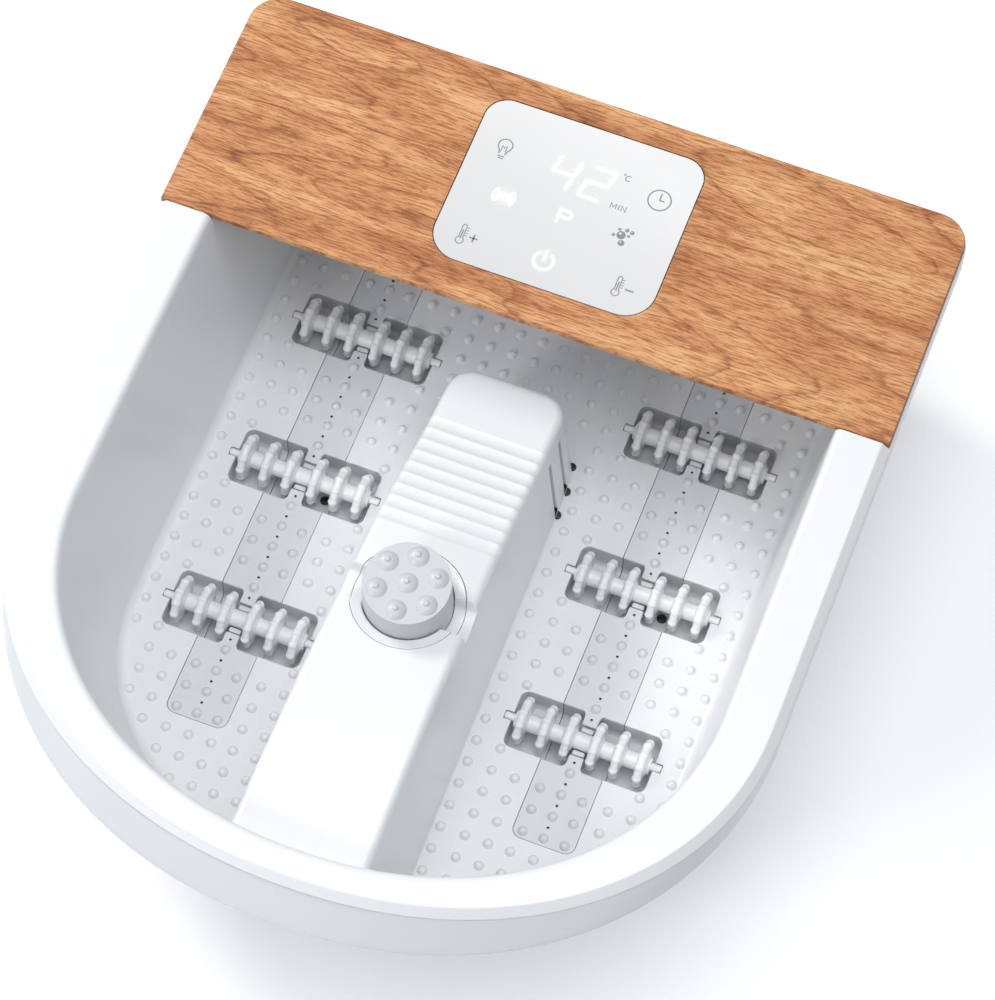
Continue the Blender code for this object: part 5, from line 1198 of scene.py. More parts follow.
def clear_of_hump(x, y):
    patch = HUMP_END - HUMP_DRAFT
    if y > patch:
        return math.hypot(x, y - patch) > HUMP_BACK_ROOM
    return abs(x) > hump_half(y) + HUMP_DRAFT + HUMP_ROOM


def on_floor(x, y):
    half, depth = FLOOR_PLAN[0] - WALL_ROOM, CURVE_START - FLOOR_PLAN[1] - WALL_ROOM
    along = max(CURVE_START - y, 0) / depth
    return (abs(x) / half) ** CURVE_POWER + along ** CURVE_POWER < 1


def floor_dome_places():
    places = []
    for row in range(-14, 11):
        y = GRID_Y + row * PITCH
        columns = DOME_FRONT_COLUMNS if y < STRIP_FRONT else DOME_COLUMNS
        places += [(sign * column * PITCH, y) for column in columns for sign in (-1, 1)]
    tests = (clear_of_cups, clear_of_strips, clear_of_hump, on_floor)
    return [place for place in places if all(test(*place) for test in tests)]


dome_places = floor_dome_places()
domes = make_object("floor_domes", gathered([bell(x, y) for x, y in dome_places]), tub_white)
seat_piece(smooth(domes, 60), "white_plastic")
print("floor domes:", len(dome_places))

# %% [markdown]
# ## The grey strips
# A grey strip covers each air channel. It is one thin plate that runs along the floor and dives
# down and up again through three cups. Its cross-section is a flat bar with eased edges, swept
# along that line. Small tongues reach over each roller's shaft, clip bars stand beside it, and a row
# of air holes and domes runs along it.

# %% Sweep a strip along its line
TONGUE_TIP = 0.0088
TONGUE_HALF = 0.0039
TONGUE_ROOT_FILLET = 0.0034
TONGUE_CORNER = 0.0007
CLIP_INNER = 0.0052


def strip_stations():
    """Top line of the strip with its normals and its half width at each place."""
    line = dive_line(0.0, STRIP_FRONT, STRIP_BACK, lip=0.0011, toe=0.0030, steps=6)
    front = [(STRIP_FRONT + STRIP_CORNER * (1 - math.cos(a)), FLOOR_Z) for a in quarter(8)[1:]]
    cleaned = [line[0]]
    for point in front + line[1:]:
        if math.dist(point, cleaned[-1]) > 0.00002:
            cleaned.append(point)
    stations = []
    for i, (y, z) in enumerate(cleaned):
        before, after = cleaned[max(i - 1, 0)], cleaned[min(i + 1, len(cleaned) - 1)]
        along = Vector((after[0] - before[0], after[1] - before[1])).normalized()
        into = STRIP_CORNER - min(y - STRIP_FRONT, STRIP_CORNER)
        half = STRIP_HALF - STRIP_CORNER + math.sqrt(STRIP_CORNER ** 2 - into ** 2)
        stations.append((y, z, -along.y, along.x, half))
    return stations


def strip_section(half, ease=0.00035):
    """The loop round a strip's cross-section, as (x, depth below the top)."""
    left = [(-half + ease * (1 - math.sin(a)), ease * (1 - math.cos(a))) for a in reversed(quarter(3))]
    right = [(-x, depth) for x, depth in reversed(left)]
    return left + right + [(half, STRIP_PLATE), (-half, STRIP_PLATE)]


def strip_plate(x):
    rings = []
    for y, z, up_y, up_z, half in strip_stations():
        section = strip_section(half)
        rings.append([(x + across, y - up_y * depth, z - up_z * depth) for across, depth in section])
    return loft(rings)


def tongue(x, row, way):
    """A tongue from the cup's side towards the shaft, with fillets at its root."""
    root, half, fillet, corner = CUP_HALF_Y + 0.0008, TONGUE_HALF, TONGUE_ROOT_FILLET, TONGUE_CORNER
    outline = [(half + fillet * (1 - math.sin(a)), root - fillet * (1 - math.cos(a))) for a in quarter(6)]
    outline += [(half - corner * (1 - math.cos(a)), TONGUE_TIP + corner * (1 - math.sin(a)))
                for a in quarter(3)]
    outline += [(-across, along) for across, along in reversed(outline)]
    eased = ((0, STRIP_PLATE), (0, 0.0003), (0.0001, 0.0001), (0.0003, 0))
    rings = []
    for inset, depth in eased:
        ring = []
        for across, along in outline:
            lean = inset if abs(across) > half * 0.5 else 0
            back = inset if along < TONGUE_TIP + 0.001 else 0
            px = x + across - math.copysign(lean, across)
            ring.append((px, row + way * (along + back), FLOOR_Z - depth))
        rings.append(ring)
    return loft(rings)


def clip_bar(x, row, way):
    """A bar with a round top that stands beside the shaft."""
    half_x, half_y, corner = 0.0033, 0.0014, 0.0008
    low, high = FLOOR_Z - CUP_DEPTH - 0.001, FLOOR_Z - 0.0010
    rings = []
    for inset, z in ((0, low), (0, high - 0.0007), (0.00015, high - 0.00025), (0.0006, high)):
        place = (x, row + way * (CLIP_INNER + half_y))
        plan = rounded_rect(half_x - inset, half_y - inset, max(corner - inset, 0.0002), place, 4)
        rings.append(level(plan, z))
    return loft(rings)


print("stations along a strip:", len(strip_stations()))

# %% Finish both strips
AIR_HOLE = 0.0007
SINGLE_DOME_ROWS = (9, 6, 2, -1, -5, -8)
TRIPLE_DOME_ROWS = (10, 5, 4, 3, -2, -3, -4, -9, -10, -11)
DOME_SIDE = 0.0113
CUP_ROW_SHARES = (7.5, 0.5, -6.5)
SCREW_SIDE, SCREW_BACK, SCREW_BORE = 0.0122, 0.0030, 0.0022


def cross_screw(x, y):
    """A small screw with a low round head and a cross in it."""
    seat = FLOOR_Z - CUP_DEPTH + GAP
    steps = ((0.0012, -0.0060), (0.0018, -0.0052), (0.0018, 0), (0.0026, 0), (0.0026, 0.0005),
             (0.0023, 0.0009), (0.0016, 0.0012))
    profile = [(radius, seat + height) for radius, height in steps]
    screw = make_object("cross_screw", turned(profile, (x, y), 32), black_plastic)
    for long_x, long_y in ((0.0014, 0.0003), (0.0003, 0.0014)):
        carve(screw, extruded(rounded_rect(long_x, long_y, 0.0001, (x, y), 2), seat + 0.0006, seat + 0.002))
    return smooth(screw, 30)


def strip_dome_places(x):
    places = [(x, GRID_Y + row * PITCH) for row in SINGLE_DOME_ROWS]
    for row in TRIPLE_DOME_ROWS:
        places += [(x + offset, GRID_Y + row * PITCH) for offset in (-DOME_SIDE, 0, DOME_SIDE)]
    return places


def round_hole(x, y, radius, low, high):
    return turned([(radius, low), (radius, high)], (x, y), 20)


# Painted shade: the walls of each air hole are black, for the dark channel under the strip.
def paint_air_hole_shade(strip, x):
    strip.data.materials.append(black_plastic)
    for face in strip.data.polygons:
        along = (face.center.y - GRID_Y) % PITCH - PITCH / 2
        if math.hypot(face.center.x - x, along) < AIR_HOLE * 1.1 and abs(face.normal.z) < 0.5:
            face.material_index = 1


for side, sign in (("left", -1), ("right", 1)):
    x = sign * STRIP_X
    strip = make_object(f"grey_strip_{side}", strip_plate(x), plastics["strip_grey"])
    for row in CUP_ROWS:
        for way in (-1, 1):
            carve(strip, tongue(x, row, way), "UNION")
            carve(strip, clip_bar(x, row, way), "UNION")
    rows = [k + 0.5 for k in range(-11, 11) if k + 0.5 not in CUP_ROW_SHARES]
    low, high = FLOOR_Z - 0.003, FLOOR_Z + 0.002
    carve(strip, gathered([round_hole(x, GRID_Y + row * PITCH, AIR_HOLE, low, high) for row in rows]))
    screw = (x + SCREW_SIDE, CUP_ROWS[1] - SCREW_BACK)
    low = FLOOR_Z - CUP_DEPTH
    carve(strip, round_hole(*screw, SCREW_BORE, low - 0.004, low + 0.003))
    paint_air_hole_shade(strip, x)
    seat_piece(smooth(strip, 40), "pale_grey_plastic", f"strip_{side}")
    bells = gathered([bell(*place) for place in strip_dome_places(x)])
    bells = make_object(f"strip_domes_{side}", bells, plastics["strip_grey"])
    seat_piece(smooth(bells, 60), "pale_grey_plastic")
    seat_piece(cross_screw(*screw), "black_plastic", f"strip_screw_{side}")

# %% [markdown]
# ## The massage rollers
# A roller is one soft-white moulding: a thick shaft, six discs with ten fat knobs each, and a pin at
# each end that drops into an open notch. A knob is a short finger with a ball end, and a thinner
# web joins it to the next. So each disc is skinned from cross-sections that turn about the axis:
# every section is a straight-sided bar with a round end, long and thick at a knob, short and thin
# between two knobs.

# %% Build one roller about its axis
DISC_PLACES = (-0.0324, -0.0198, -0.0072, 0.0072, 0.0198, 0.0324)
KNOBS = 10
KNOB_RADIUS = 0.0024
KNOB_CENTRE = 0.0105
WEB_HALF = 0.0020
WEB_RADIUS = 0.0100
DISC_SIDE = ((0.0040, 0.0035), (0.0052, 0.0029), (0.0066, 0.0024), (0.0080, 0.0021))
SHAFT_END = ((0.0362, 0.0046), (0.0366, 0.0042), (0.0368, 0.0030))
PIN_END = ((0.0418, 0.0021), (0.04205, 0.0019), (0.04225, 0.0015))


def knob_section(turn):
    """Half thickness of the disc and the centre of its round end, at an angle from a knob."""
    side = KNOB_CENTRE * math.sin(turn)
    if abs(side) >= KNOB_RADIUS:
        return WEB_HALF, WEB_RADIUS
    half = math.sqrt(KNOB_RADIUS ** 2 - side ** 2)
    share = max(half - WEB_HALF, 0) / (KNOB_RADIUS - WEB_HALF)
    ease = share ** 0.5
    return max(half, WEB_HALF), WEB_RADIUS + (KNOB_CENTRE * math.cos(turn) - WEB_RADIUS) * ease


def knobbed_disc(x, phase, per_knob=14, steps=12):
    """One disc, skinned from the cross-sections that turn about the axis."""
    pitch = 2 * math.pi / KNOBS
    sections = []
    for i in range(KNOBS * per_knob):
        turn = (i % per_knob) / per_knob * pitch
        half, centre = knob_section(turn - pitch if turn > pitch / 2 else turn)
        profile = list(DISC_SIDE)
        for k in range(steps + 1):
            a = math.pi * k / steps
            profile.append((centre + half * math.sin(a), half * math.cos(a)))
        profile += [(r, -side) for r, side in reversed(DISC_SIDE)]
        a = i / per_knob * pitch + phase
        sections.append([(x + across, r * math.cos(a), r * math.sin(a)) for r, across in profile])
    return loft(list(map(list, zip(*sections))))


def roller_bar(end, count):
    """A turned bar along X with two equal ends, given as (place, radius) pairs."""
    profile = [(-x, r) for x, r in reversed(end)] + list(end)
    return loft([[(x, r * math.cos(a), r * math.sin(a)) for a in around(count)] for x, r in profile])


def roller_parts(phase):
    discs = [knobbed_disc(x, phase) for x in DISC_PLACES]
    return gathered([roller_bar(SHAFT_END, 40), roller_bar(PIN_END, 28), *discs])


TURNS = {"left_back": 0.02, "left_middle": -0.06, "left_front": 0.05,
         "right_back": -0.03, "right_middle": 0.04, "right_front": 0.0}
for side, sign in (("left", -1), ("right", 1)):
    for row, y in zip(("front", "middle", "back"), CUP_ROWS):
        name = f"{side}_{row}"
        parts = roller_parts(math.pi / 2 + TURNS[name])
        parts.transform(Matrix.Translation((sign * STRIP_X, y, AXIS_Z)))
        roller = make_object(f"knobbed_roller_{name}", parts, plastics["roller_white"])
        seat_piece(smooth(roller, 50), "roller_plastic", f"roller_{name}", body=f"roller_{name}")

# %% [markdown]
# ## The seat of the attachment
# A separate ring lines the round well in the hump. Its top follows the slope of the hump, then a
# shallow funnel leads down to the socket. Two finger scoops cross the ring and run out over the
# hump, so that the attachment can be gripped. The ring is a turned shape whose heights lean with
# the slope, and the scoops are cut by one long grooved bar.

# %% Turn the seat ring
PUCK_RADIUS = 0.0225
SOCKET_RISE = 0.0025
# Radius and rise over the hump's slope, from the ring's outer edge in to the socket's wall.
FUNNEL = (
    (0.0285, -0.0004), (0.02842, -0.00012), (0.0282, 0.0), (0.0279, -0.00006), (0.0275, -0.00020),
    (0.0266, -0.00055), (0.0254, -0.00085), (0.0243, -0.0010), (0.0235, -0.0011), (0.0231, -0.0014),
    (0.0229, -0.0020),
)


def seat_rings(count=128):
    """Rings from the outer wall's foot over the funnel to the socket's floor."""
    foot, centre = WELL_FLOOR + GAP, (0, SEAT_Y)
    rings = [circle(centre, SEAT_RADIUS, foot, count)]
    for radius, rise in FUNNEL:
        flat = circle(centre, radius, 0, count)
        rings.append([(x, y, FLOOR_Z + hump_height(y) + rise) for x, y, _ in flat])
    rings.append(circle(centre, 0.0229, foot + 0.0029, count))
    return rings + [circle(centre, 0.0225, foot + SOCKET_RISE, count)]


seat = make_object("attachment_seat_ring", loft(seat_rings()), tub_white)
carve(seat, scoop_cutter())
seat_piece(smooth(seat, 35), "white_plastic", "attachment_seat")

# %% [markdown]
# ## The massage attachment
# The lift-off attachment is a short round block in pale grey. Seven soft mounds stand on its flat
# top, one in the middle and six round it, each with a small nub at its crown. The block and the
# mounds are turned shapes. The mounds overlap the top by a hair, as one moulding would.

# %% Turn the attachment
PUCK_TOP_Z = FLOOR_Z + hump_height(SEAT_Y) + 0.0171
PUCK_FOOT = WELL_FLOOR + GAP + SOCKET_RISE + GAP
# Inset from the radius and drop below the top, over the block's upper edge.
PUCK_EDGE = ((0.0006, 0.0004), (0.00068, 0.00018), (0.0008, 0.00004), (0.0011, 0))
MOUND_RADIUS = 0.00555
MOUND_CROWN = 0.0018
MOUND_RISE = 0.0025
MOUND_RING = 0.0152
NUB = ((0.00158, 0.00008), (0.0015, 0.0005), (0.0013, 0.00085), (0.0009, 0.0011), (0.0004, 0.00122))


def mound(x, y):
    """A convex mound with a small round nub on its crown."""
    profile = [(0.0056, PUCK_TOP_Z - 0.0002)]
    for i in range(11):
        r = MOUND_RADIUS - (MOUND_RADIUS - MOUND_CROWN) * i / 10
        profile.append((r, PUCK_TOP_Z + MOUND_RISE * (1 - (r / MOUND_RADIUS) ** 2.3)))
    crown = profile[-1][1]
    return turned(profile + [(r, crown + rise) for r, rise in NUB], (x, y), 40)


def mound_places():
    """One mound in the middle and six in a ring round it."""
    ring = [math.pi / 2 + math.pi / 3 * i for i in range(6)]
    return [(0, SEAT_Y)] + [(MOUND_RING * math.cos(a), SEAT_Y + MOUND_RING * math.sin(a)) for a in ring]


profile = [(PUCK_RADIUS - 0.0008, PUCK_FOOT), (PUCK_RADIUS, PUCK_FOOT + 0.0008)]
profile += [(PUCK_RADIUS - inset, PUCK_TOP_Z - drop) for inset, drop in PUCK_EDGE]
puck = make_object("lift_off_attachment", turned(profile, (0, SEAT_Y), 128), plastics["attachment_grey"])
for place in mound_places():
    carve(puck, mound(*place), "UNION")
seat_piece(smooth(puck, 30), "pale_grey_plastic", "massage_attachment", body="massage_attachment")

# %% [markdown]
# ## The wood-look rear cover
# The cover is a thin flat board with eased edges and two round back corners. Its front edge rolls
# over more than the others, and a rounded window with a step holds the glass panel.

# %% Build the rear cover
COVER_LOW = TOP - 0.0042
COVER_GAP = 0.0006
COVER_EDGE, COVER_FRONT_EDGE = 0.0009, 0.0016
PANEL_Y0, PANEL_Y1, PANEL_HALF = 0.11835, 0.21645, 0.0594
PANEL_CORNERS = (0.0165, 0.0125)
PANEL_LOW = COVER_LOW + 0.0009
PANEL_LEDGE = 0.0020


def board_outline(inset, front_inset):
    """Plan of the cover; its front edge can lie further in than the rest."""
    half, _, rear, corner = SEAM_PLAN
    half, rear, radius = (size - COVER_GAP - inset for size in (half, rear, corner))
    front = COVER_FRONT + GAP + front_inset
    right = [(half, front + 0.0006), (half - 0.0002, front + 0.0002), (half - 0.0006, front)]
    return [(-x, y) for x, y in reversed(right)] + back_corners(half, rear, radius) + right


def board_rings():
    """Rings from the cover's underside up its side and over its rolled edge."""
    rings = [level(board_outline(0.0004, 0.0004), COVER_LOW), level(board_outline(0, 0), COVER_LOW + 0.0004)]
    for a in quarter(6):
        inset, drop = 1 - math.cos(a), 1 - math.sin(a)
        ring = []
        for x, y in board_outline(COVER_EDGE * inset, COVER_FRONT_EDGE * inset):
            edge = COVER_FRONT_EDGE if y < COVER_FRONT + 0.004 else COVER_EDGE
            ring.append((x, y, TOP - edge * drop))
        rings.append(ring)
    return rings


def panel_outline(inset):
    """Plan of the glass panel, pulled in by the inset."""
    middle, half_y = (PANEL_Y0 + PANEL_Y1) / 2, (PANEL_Y1 - PANEL_Y0) / 2
    corners = tuple(radius - inset for radius in PANEL_CORNERS)
    return rounded_rect(PANEL_HALF - inset, half_y - inset, corners, (0, middle), 16)


# Painted shade: a dark brown for the steep faces of the board's outer edge, where its rolled edge turns from
# the light.
painted_edge_shade = make_plastic("painted_edge_shade", (0.165, 0.085, 0.050), 0.50, 0.10, 0.20, 0.03)
board = make_object("wood_look_board", loft(board_rings()), wood_film)
carve(board, extruded(panel_outline(-GAP), PANEL_LOW, TOP + 0.002))
carve(board, extruded(panel_outline(PANEL_LEDGE), COVER_LOW - 0.002, TOP))
smooth(board, 40)
# Painted shade on the steep faces of the outer edge.
board.data.materials.append(painted_edge_shade)
for face in board.data.polygons:
    outside = abs(face.center.x) > PANEL_HALF + 0.01 or face.center.y > PANEL_Y1 + 0.006
    if outside and face.normal.z < 0.80:
        face.material_index = 1
seat_piece(board, "wood_look", "wood_cover")

# %% [markdown]
# ## The glass panel
# The control panel is a sheet of light grey lacquered glass that lies flush in the cover. Its
# ground edge is darker, which draws a fine line round it. Its colour is painted a little lighter
# towards the back, painted light on the lacquer, and a clear coat gives the gloss of glass.

# %% Make the panel's finishes
# Painted light: the panel's colour lightens along a slanted run towards the back.
PANEL_PAINTED_LIGHT = [(0.0, (0.640, 0.637, 0.635)), (0.55, (0.690, 0.687, 0.685)), (1.0, (0.780, 0.777, 0.775))]
PAINTED_LIGHT_SLANT, PAINTED_LIGHT_START, PAINTED_LIGHT_END = 0.35, 0.115, 0.220


def make_panel_glass():
    material, tree = new_material("lacquered_glass_painted_light")
    where = object_place(tree)
    split = add_node(tree, "SeparateXYZ", {"Vector": where}).outputs
    run = plus(tree, split["Y"], times(tree, split["X"], PAINTED_LIGHT_SLANT))
    haze = times(tree, noise_node(tree, where, 30.0), 0.012)
    share = spread(tree, plus(tree, run, haze), 0.0, 1.0, PAINTED_LIGHT_START, PAINTED_LIGHT_END)
    shade(tree, {
        "Base Color": colour_ramp(tree, share, PANEL_PAINTED_LIGHT),
        "Roughness": spread(tree, noise_node(tree, where, 55.0, 4.0), 0.30, 0.42),
        "Coat Weight": 0.5,
        "Coat Roughness": 0.06,
    })
    return material


panel_glass = make_panel_glass()
panel_edge = make_plastic("ground_glass_edge", (0.16, 0.165, 0.17), 0.45, 0.10, 0.10, 0.02)
print("panel finishes:", panel_glass.name, panel_edge.name)

# %% Build the glass panel
GLASS_TOP = TOP - 0.0002


def glass_panel():
    """The sheet with its eased edge; everything but its flat top is ground."""
    heights = ((0.0, PANEL_LOW + GAP), (0.0, GLASS_TOP - 0.0003), (0.00012, GLASS_TOP - 0.00008),
               (0.00032, GLASS_TOP))
    rings = [level(panel_outline(inset), height) for inset, height in heights]
    piece = make_object("glass_panel", loft(rings), panel_glass)
    piece.data.materials.append(panel_edge)
    for face in piece.data.polygons:
        face.material_index = 0 if face.normal.z > 0.99 else 1
    return piece


seat_piece(smooth(glass_panel(), 30), "panel_glass", "touch_panel")

# %% [markdown]
# ## The signs on the panel
# The keys are capacitive, so they are only signs under the glass: a lamp, a clock, two
# thermometers, bubbles, waves, a programme key, the power key and a two-digit display. The lit ones
# glow white. Each sign is drawn with strokes: a stroke is a line of points that is widened into a
# flat ribbon. The space above the digits stays bare.

# %% Drawing tools for the signs


def arc(centre, radius, start, end, steps):
    """Points on an arc, in degrees, in millimetres."""
    turn = [math.radians(start + (end - start) * i / steps) for i in range(steps + 1)]
    return [(centre[0] + radius * math.cos(a), centre[1] + radius * math.sin(a)) for a in turn]


def ribbon_sides(points, offsets, closed):
    """For every point, its copies moved sideways by each offset, with mitred corners."""
    count = len(points)
    rows = []
    for i, here in enumerate(points):
        before = points[i - 1] if closed or i else here
        after = points[(i + 1) % count] if closed or i < count - 1 else here
        into = Vector((here[0] - before[0], here[1] - before[1]))
        out = Vector((after[0] - here[0], after[1] - here[1]))
        into = into if into.length > 1e-9 else out
        out = out if out.length > 1e-9 else into
        into.normalize()
        out.normalize()
        side = Vector((-(into.y + out.y), into.x + out.x)).normalized()
        stretch = 1 / max(side.dot(Vector((-into.y, into.x))), 0.5)
        rows.append([(here[0] + side.x * w * stretch, here[1] + side.y * w * stretch) for w in offsets])
    return rows


def add_ribbon(bm, points, width, height, closed):
    """Add one flat stroke, in metres, at a height."""
    rows = ribbon_sides(points, (-width / 2, width / 2), closed)
    made = [[bm.verts.new((x, y, height)) for x, y in row] for row in rows]
    pairs = list(zip(made, made[1:])) + ([(made[-1], made[0])] if closed else [])
    for first, second in pairs:
        bm.faces.new((first[0], second[0], second[1], first[1]))


def add_spot(bm, centre, radius, height):
    """Add one flat round spot, in metres."""
    bm.faces.new([bm.verts.new(point) for point in circle(centre, radius, height, 28)])


def moved(strokes, x, y, size=1.0):
    """Move strokes from millimetres round zero to their place on the panel, in metres."""
    unit = size / 1000
    return [([(x + px * unit, y + py * unit) for px, py in points], width * unit, closed)
            for points, width, closed in strokes]


print("drawing tools ready")

# %% [markdown]
# The digits lean like those of a segment display, so each bar is a straight stroke between two
# corners of a leaning cell. The waves are pairs of arcs round a small zigzag.

# %% Draw the signs
DIGIT_WIDE, DIGIT_TALL, DIGIT_LEAN, DIGIT_GAP = 11.2, 18.4, 0.178, 0.80
BARS = {"a": ((0, 2), (1, 2)), "b": ((1, 2), (1, 1)), "c": ((1, 1), (1, 0)), "d": ((0, 0), (1, 0)),
        "e": ((0, 1), (0, 0)), "f": ((0, 2), (0, 1)), "g": ((0, 1), (1, 1))}


def digit(shape, x):
    """One digit from its bars: a top, b and c right, d bottom, e and f left, g middle."""
    strokes = []
    for bar in shape:
        ends = []
        for column, row in BARS[bar]:
            v = (row - 1) * DIGIT_TALL / 2
            ends.append(Vector(((column - 0.5) * DIGIT_WIDE + v * DIGIT_LEAN, v)))
        along = (ends[1] - ends[0]).normalized() * DIGIT_GAP
        first, last = ends[0] + along, ends[1] - along
        strokes.append(([(x + first.x, first.y), (x + last.x, last.y)], 1.25, False))
    return strokes


def lamp_sign():
    bulb = arc((0, 1.6), 3.1, -52, 232, 30)
    glass_line = [(-1.3, -3.0)] + list(reversed(bulb)) + [(1.3, -3.0)]
    wire = [(-1.0, -1.8), (-1.0, 1.2), (0, 0.1), (1.0, 1.2), (1.0, -1.8)]
    return [(glass_line, 0.55, False), (wire, 0.40, False), ([(-1.5, -4.0), (1.5, -4.0)], 0.50, False),
            ([(-1.2, -5.0), (1.2, -5.0)], 0.50, False)]


def clock_sign():
    return [(arc((0, 0), 5.2, 0, 352, 44), 0.62, True), ([(0, 3.6), (0, 0), (2.4, -0.1)], 0.6, False)]


def thermometer_sign(plus_key):
    outline = arc((0, 3.9), 0.95, 0, 180, 10) + arc((0, -3.4), 1.75, 122, 418, 24)
    strokes = [(outline, 0.48, True), ([(0, -2.6), (0, 2.2)], 0.60, False)]
    for rise in (3.4, 2.1, 0.8, -0.5):
        strokes.append(([(1.4, rise), (2.4, rise)], 0.42, False))
    strokes.append(([(3.6, -0.6), (7.6, -0.6)], 0.75, False))
    if plus_key:
        strokes.append(([(5.6, 1.4), (5.6, -2.6)], 0.75, False))
    return strokes


def wave_sign():
    strokes = [([(-1.6, 0.5), (-1.0, -0.9), (-0.3, 1.0), (0.4, -1.0), (1.0, 0.9), (1.6, -0.3)], 0.4, False)]
    for radius in (2.7, 3.8, 4.9, 6.0):
        for middle in (0, 180):
            strokes.append((arc((0, 0), radius, middle - 48, middle + 48, 18), 0.34, False))
    return strokes


def programme_sign():
    bowl = arc((1.3, 1.55), 2.05, 90, -90, 14)
    return [([(-2.9, -3.7), (-2.9, 3.6)] + bowl + [(-2.9, -0.5)], 0.72, False)]


def power_sign():
    return [(arc((0, 0), 5.1, 124, 416, 44), 0.80, False), ([(0, 6.0), (0, 0.3)], 0.80, False)]


def unit_signs():
    """The plain units beside the digits."""
    degree = [(arc((-1.7, 1.5), 0.45, 0, 345, 12), 0.30, True),
              (arc((0.4, 0), 1.35, 50, 310, 18), 0.44, False)]
    letters = [([(-3.4, -1.25), (-3.4, 1.25), (-2.2, -0.5), (-1.0, 1.25), (-1.0, -1.25)], 0.42, False),
               ([(0.2, -1.25), (0.2, 1.25)], 0.42, False),
               ([(1.4, -1.25), (1.4, 1.25), (3.3, -1.25), (3.3, 1.25)], 0.42, False)]
    return degree, letters


degree, letters = unit_signs()
WAVE_PLACE = (-0.0325, 0.1615)
BUBBLE_PLACE = (0.0313, 0.1615)
GLOWING = [(digit("fgbc", -9.15), 0.0, 0.1854), (digit("abged", 9.15), 0.0, 0.1854),
           (programme_sign(), 0.0002, 0.1615), (power_sign(), -0.0006, 0.1340)]
LIT = GLOWING + [(wave_sign(), *WAVE_PLACE)]
PRINTED = [
    (lamp_sign(), -0.0425, 0.1880, 1.2), (clock_sign(), 0.0419, 0.1878, 1.14),
    (degree, 0.0225, 0.1940, 1.15), (letters, 0.0238, 0.1765, 1.2),
    (thermometer_sign(True), -0.0445, 0.1340, 1.15), (thermometer_sign(False), 0.0392, 0.1340, 1.15),
]
BUBBLES = ((-0.6, 0.4, 2.35), (0.9, -3.9, 1.75), (-2.4, 3.4, 0.85), (1.4, 4.0, 1.15), (4.3, 3.5, 1.15),
           (-4.4, -0.6, 0.95), (3.2, 1.1, 0.85))
print("signs:", len(LIT), "lit,", len(PRINTED) + 1, "printed")

# %% [markdown]
# A lit sign has three finishes: a white glowing stroke, a soft halo in the lacquer round it, and
# grey print for the signs that are off. The halo is a wider ribbon that carries a number, one in
# the middle and zero at its edge, and that number fades it out.

# %% Make the sign finishes and lay the signs
LIT_TONES = [(0.0, (0.96, 0.98, 1.0)), (1.0, (1.0, 1.0, 1.0))]
HALO_REACH = 0.0021
PRINT_Z, HALO_Z, SHINE_Z, LIT_Z = (GLASS_TOP + lift for lift in (0.00004, 0.00005, 0.00008, 0.00012))


def make_lit(name, strength):
    material, tree = new_material(name)
    colour = colour_ramp(tree, noise_node(tree, object_place(tree), 400.0), LIT_TONES)
    shade(tree, {"Emission Color": colour, "Base Color": colour})
    shade(tree, {"Emission Strength": strength, "Roughness": 0.4})
    return material


def make_halo():
    material = make_lit("sign_halo", 0.35)
    tree = material.node_tree
    fade = add_node(tree, "Attribute", attribute_name="fade").outputs["Fac"]
    shade(tree, {"Alpha": times(tree, math_node(tree, "POWER", fade, 2.0), 0.30)})
    return material


def add_halo(bm, fade, points, width, height):
    """A wide ribbon whose fade runs from one in the middle to zero at its edges and ends."""
    reach = width / 2 + HALO_REACH
    start, end = Vector(points[0]), Vector(points[-1])
    first = (start - Vector(points[1])).normalized()
    last = (end - Vector(points[-2])).normalized()
    steps = (1.0, 0.8, 0.6, 0.4, 0.2)
    line = [tuple(start + first * reach * s) for s in steps] + list(points)
    line += [tuple(end + last * reach * s) for s in reversed(steps)]
    ends = [1 - s for s in steps] + [1.0] * len(points) + [1 - s for s in reversed(steps)]
    shares = (-1.0, -0.7, -0.4, 0.0, 0.4, 0.7, 1.0)
    rows = ribbon_sides(line, [s * reach for s in shares], False)
    made = []
    for row, end_fade in zip(rows, ends):
        verts = [bm.verts.new((x, y, height)) for x, y in row]
        for vert, share in zip(verts, shares):
            vert[fade] = max(0.0, 1 - math.hypot(share, 1 - end_fade))
        made.append(verts)
    for one, two in zip(made, made[1:]):
        for i in range(len(shares) - 1):
            bm.faces.new((one[i], two[i], two[i + 1], one[i + 1]))


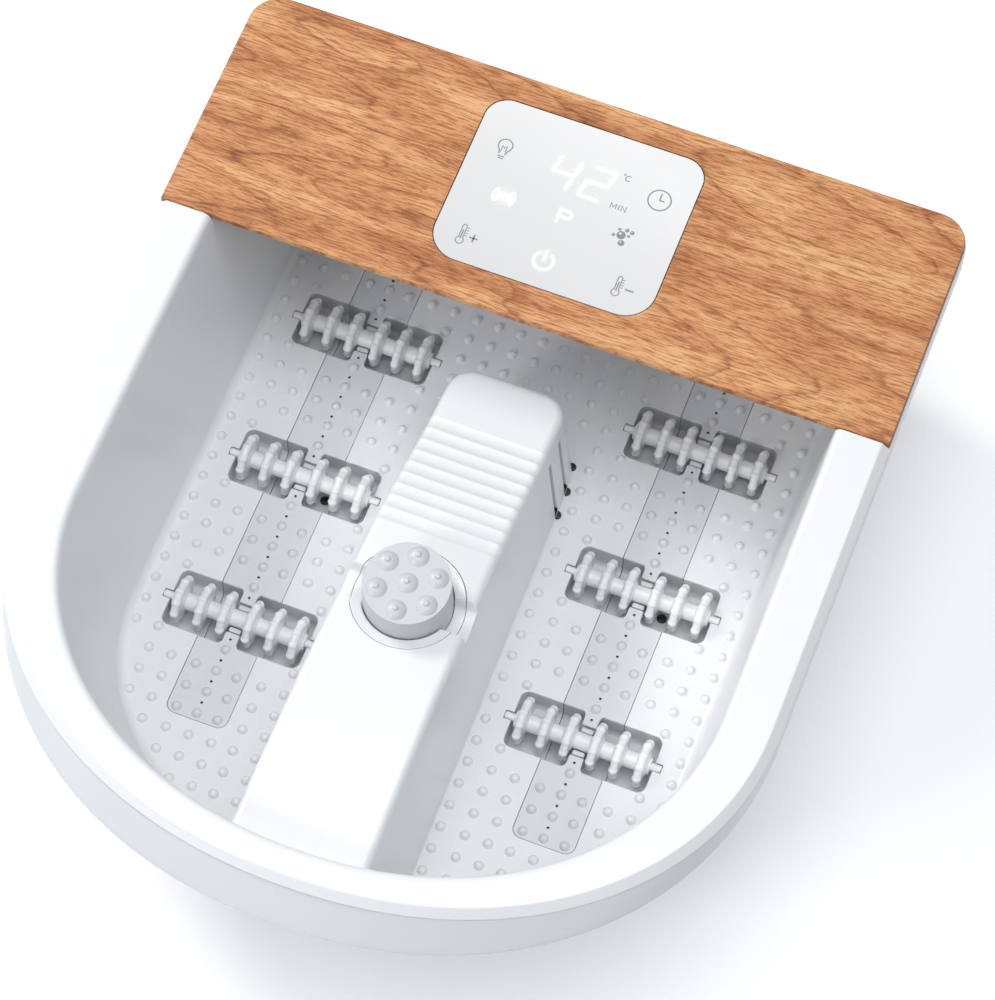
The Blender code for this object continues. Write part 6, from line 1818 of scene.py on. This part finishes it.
def add_round_halo(bm, fade, centre, radius, height, count=40):
    """A round patch of glow, strongest in the middle."""
    middle = bm.verts.new((*centre, height))
    middle[fade] = 1.0
    before = None
    for share in (0.25, 0.5, 0.75, 1.0):
        ring = [bm.verts.new(point) for point in circle(centre, radius * share, height, count)]
        for i, vert in enumerate(ring):
            vert[fade] = 1 - share
            j = (i + 1) % count
            inner = (before[i], vert, ring[j], before[j]) if before else (middle, vert, ring[j])
            bm.faces.new(inner)
        before = ring


def add_bubbles(bm, height, size=1.0, left=0.0, up=0.0):
    """The spots of the bubble sign, or smaller ones moved to the left and up in each of them."""
    for x, y, radius in BUBBLES:
        spot = (BUBBLE_PLACE[0] + (x - radius * left) / 1000, BUBBLE_PLACE[1] + (y + radius * up) / 1000)
        add_spot(bm, spot, radius * size / 1000, height)


def lay_signs(signs, height):
    bm = bmesh.new()
    for sign in signs:
        for points, width, closed in moved(*sign):
            add_ribbon(bm, points, width, height, closed)
    return bm


grey_print = make_plastic("sign_print", (0.235, 0.260, 0.275), 0.35, 0.08, 0.08, 0.01)
pale_print = make_plastic("pale_print", (0.66, 0.68, 0.69), 0.35, 0.08, 0.08, 0.01)
printed = lay_signs(PRINTED, PRINT_Z)
add_bubbles(printed, PRINT_Z)
seat_piece(make_object("printed_signs", printed, grey_print), "panel_glass")
lit = make_object("lit_signs", lay_signs(LIT, LIT_Z), make_lit("lit_sign", 0.32))
seat_piece(lit, "panel_glass")
shine = bmesh.new()
add_bubbles(shine, SHINE_Z, 0.30, 0.28, 0.32)
seat_piece(make_object("bubble_highlights", shine, pale_print), "panel_glass")
halo = bmesh.new()
fade = halo.verts.layers.float.new("fade")
height = HALO_Z
for sign in GLOWING:
    for points, width, _ in moved(*sign):
        add_halo(halo, fade, points, width, height)
        height += 0.000001
add_round_halo(halo, fade, WAVE_PLACE, 0.0095, height)
seat_piece(make_object("sign_halo", halo, make_halo()), "panel_glass")

# %% [markdown]
# The box of the dressed model and that of the imported one are both printed, in millimetres. The
# dressed model has to stay inside the box of the imported one.

# %% Keep both boxes and finish
dressed_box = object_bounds()
boxes = {"cad": [list(corner) for corner in cad_box], "visual": [list(corner) for corner in dressed_box]}
for name, corners in boxes.items():
    print(name, [[round(v * 1000, 2) for v in corner] for corner in corners])
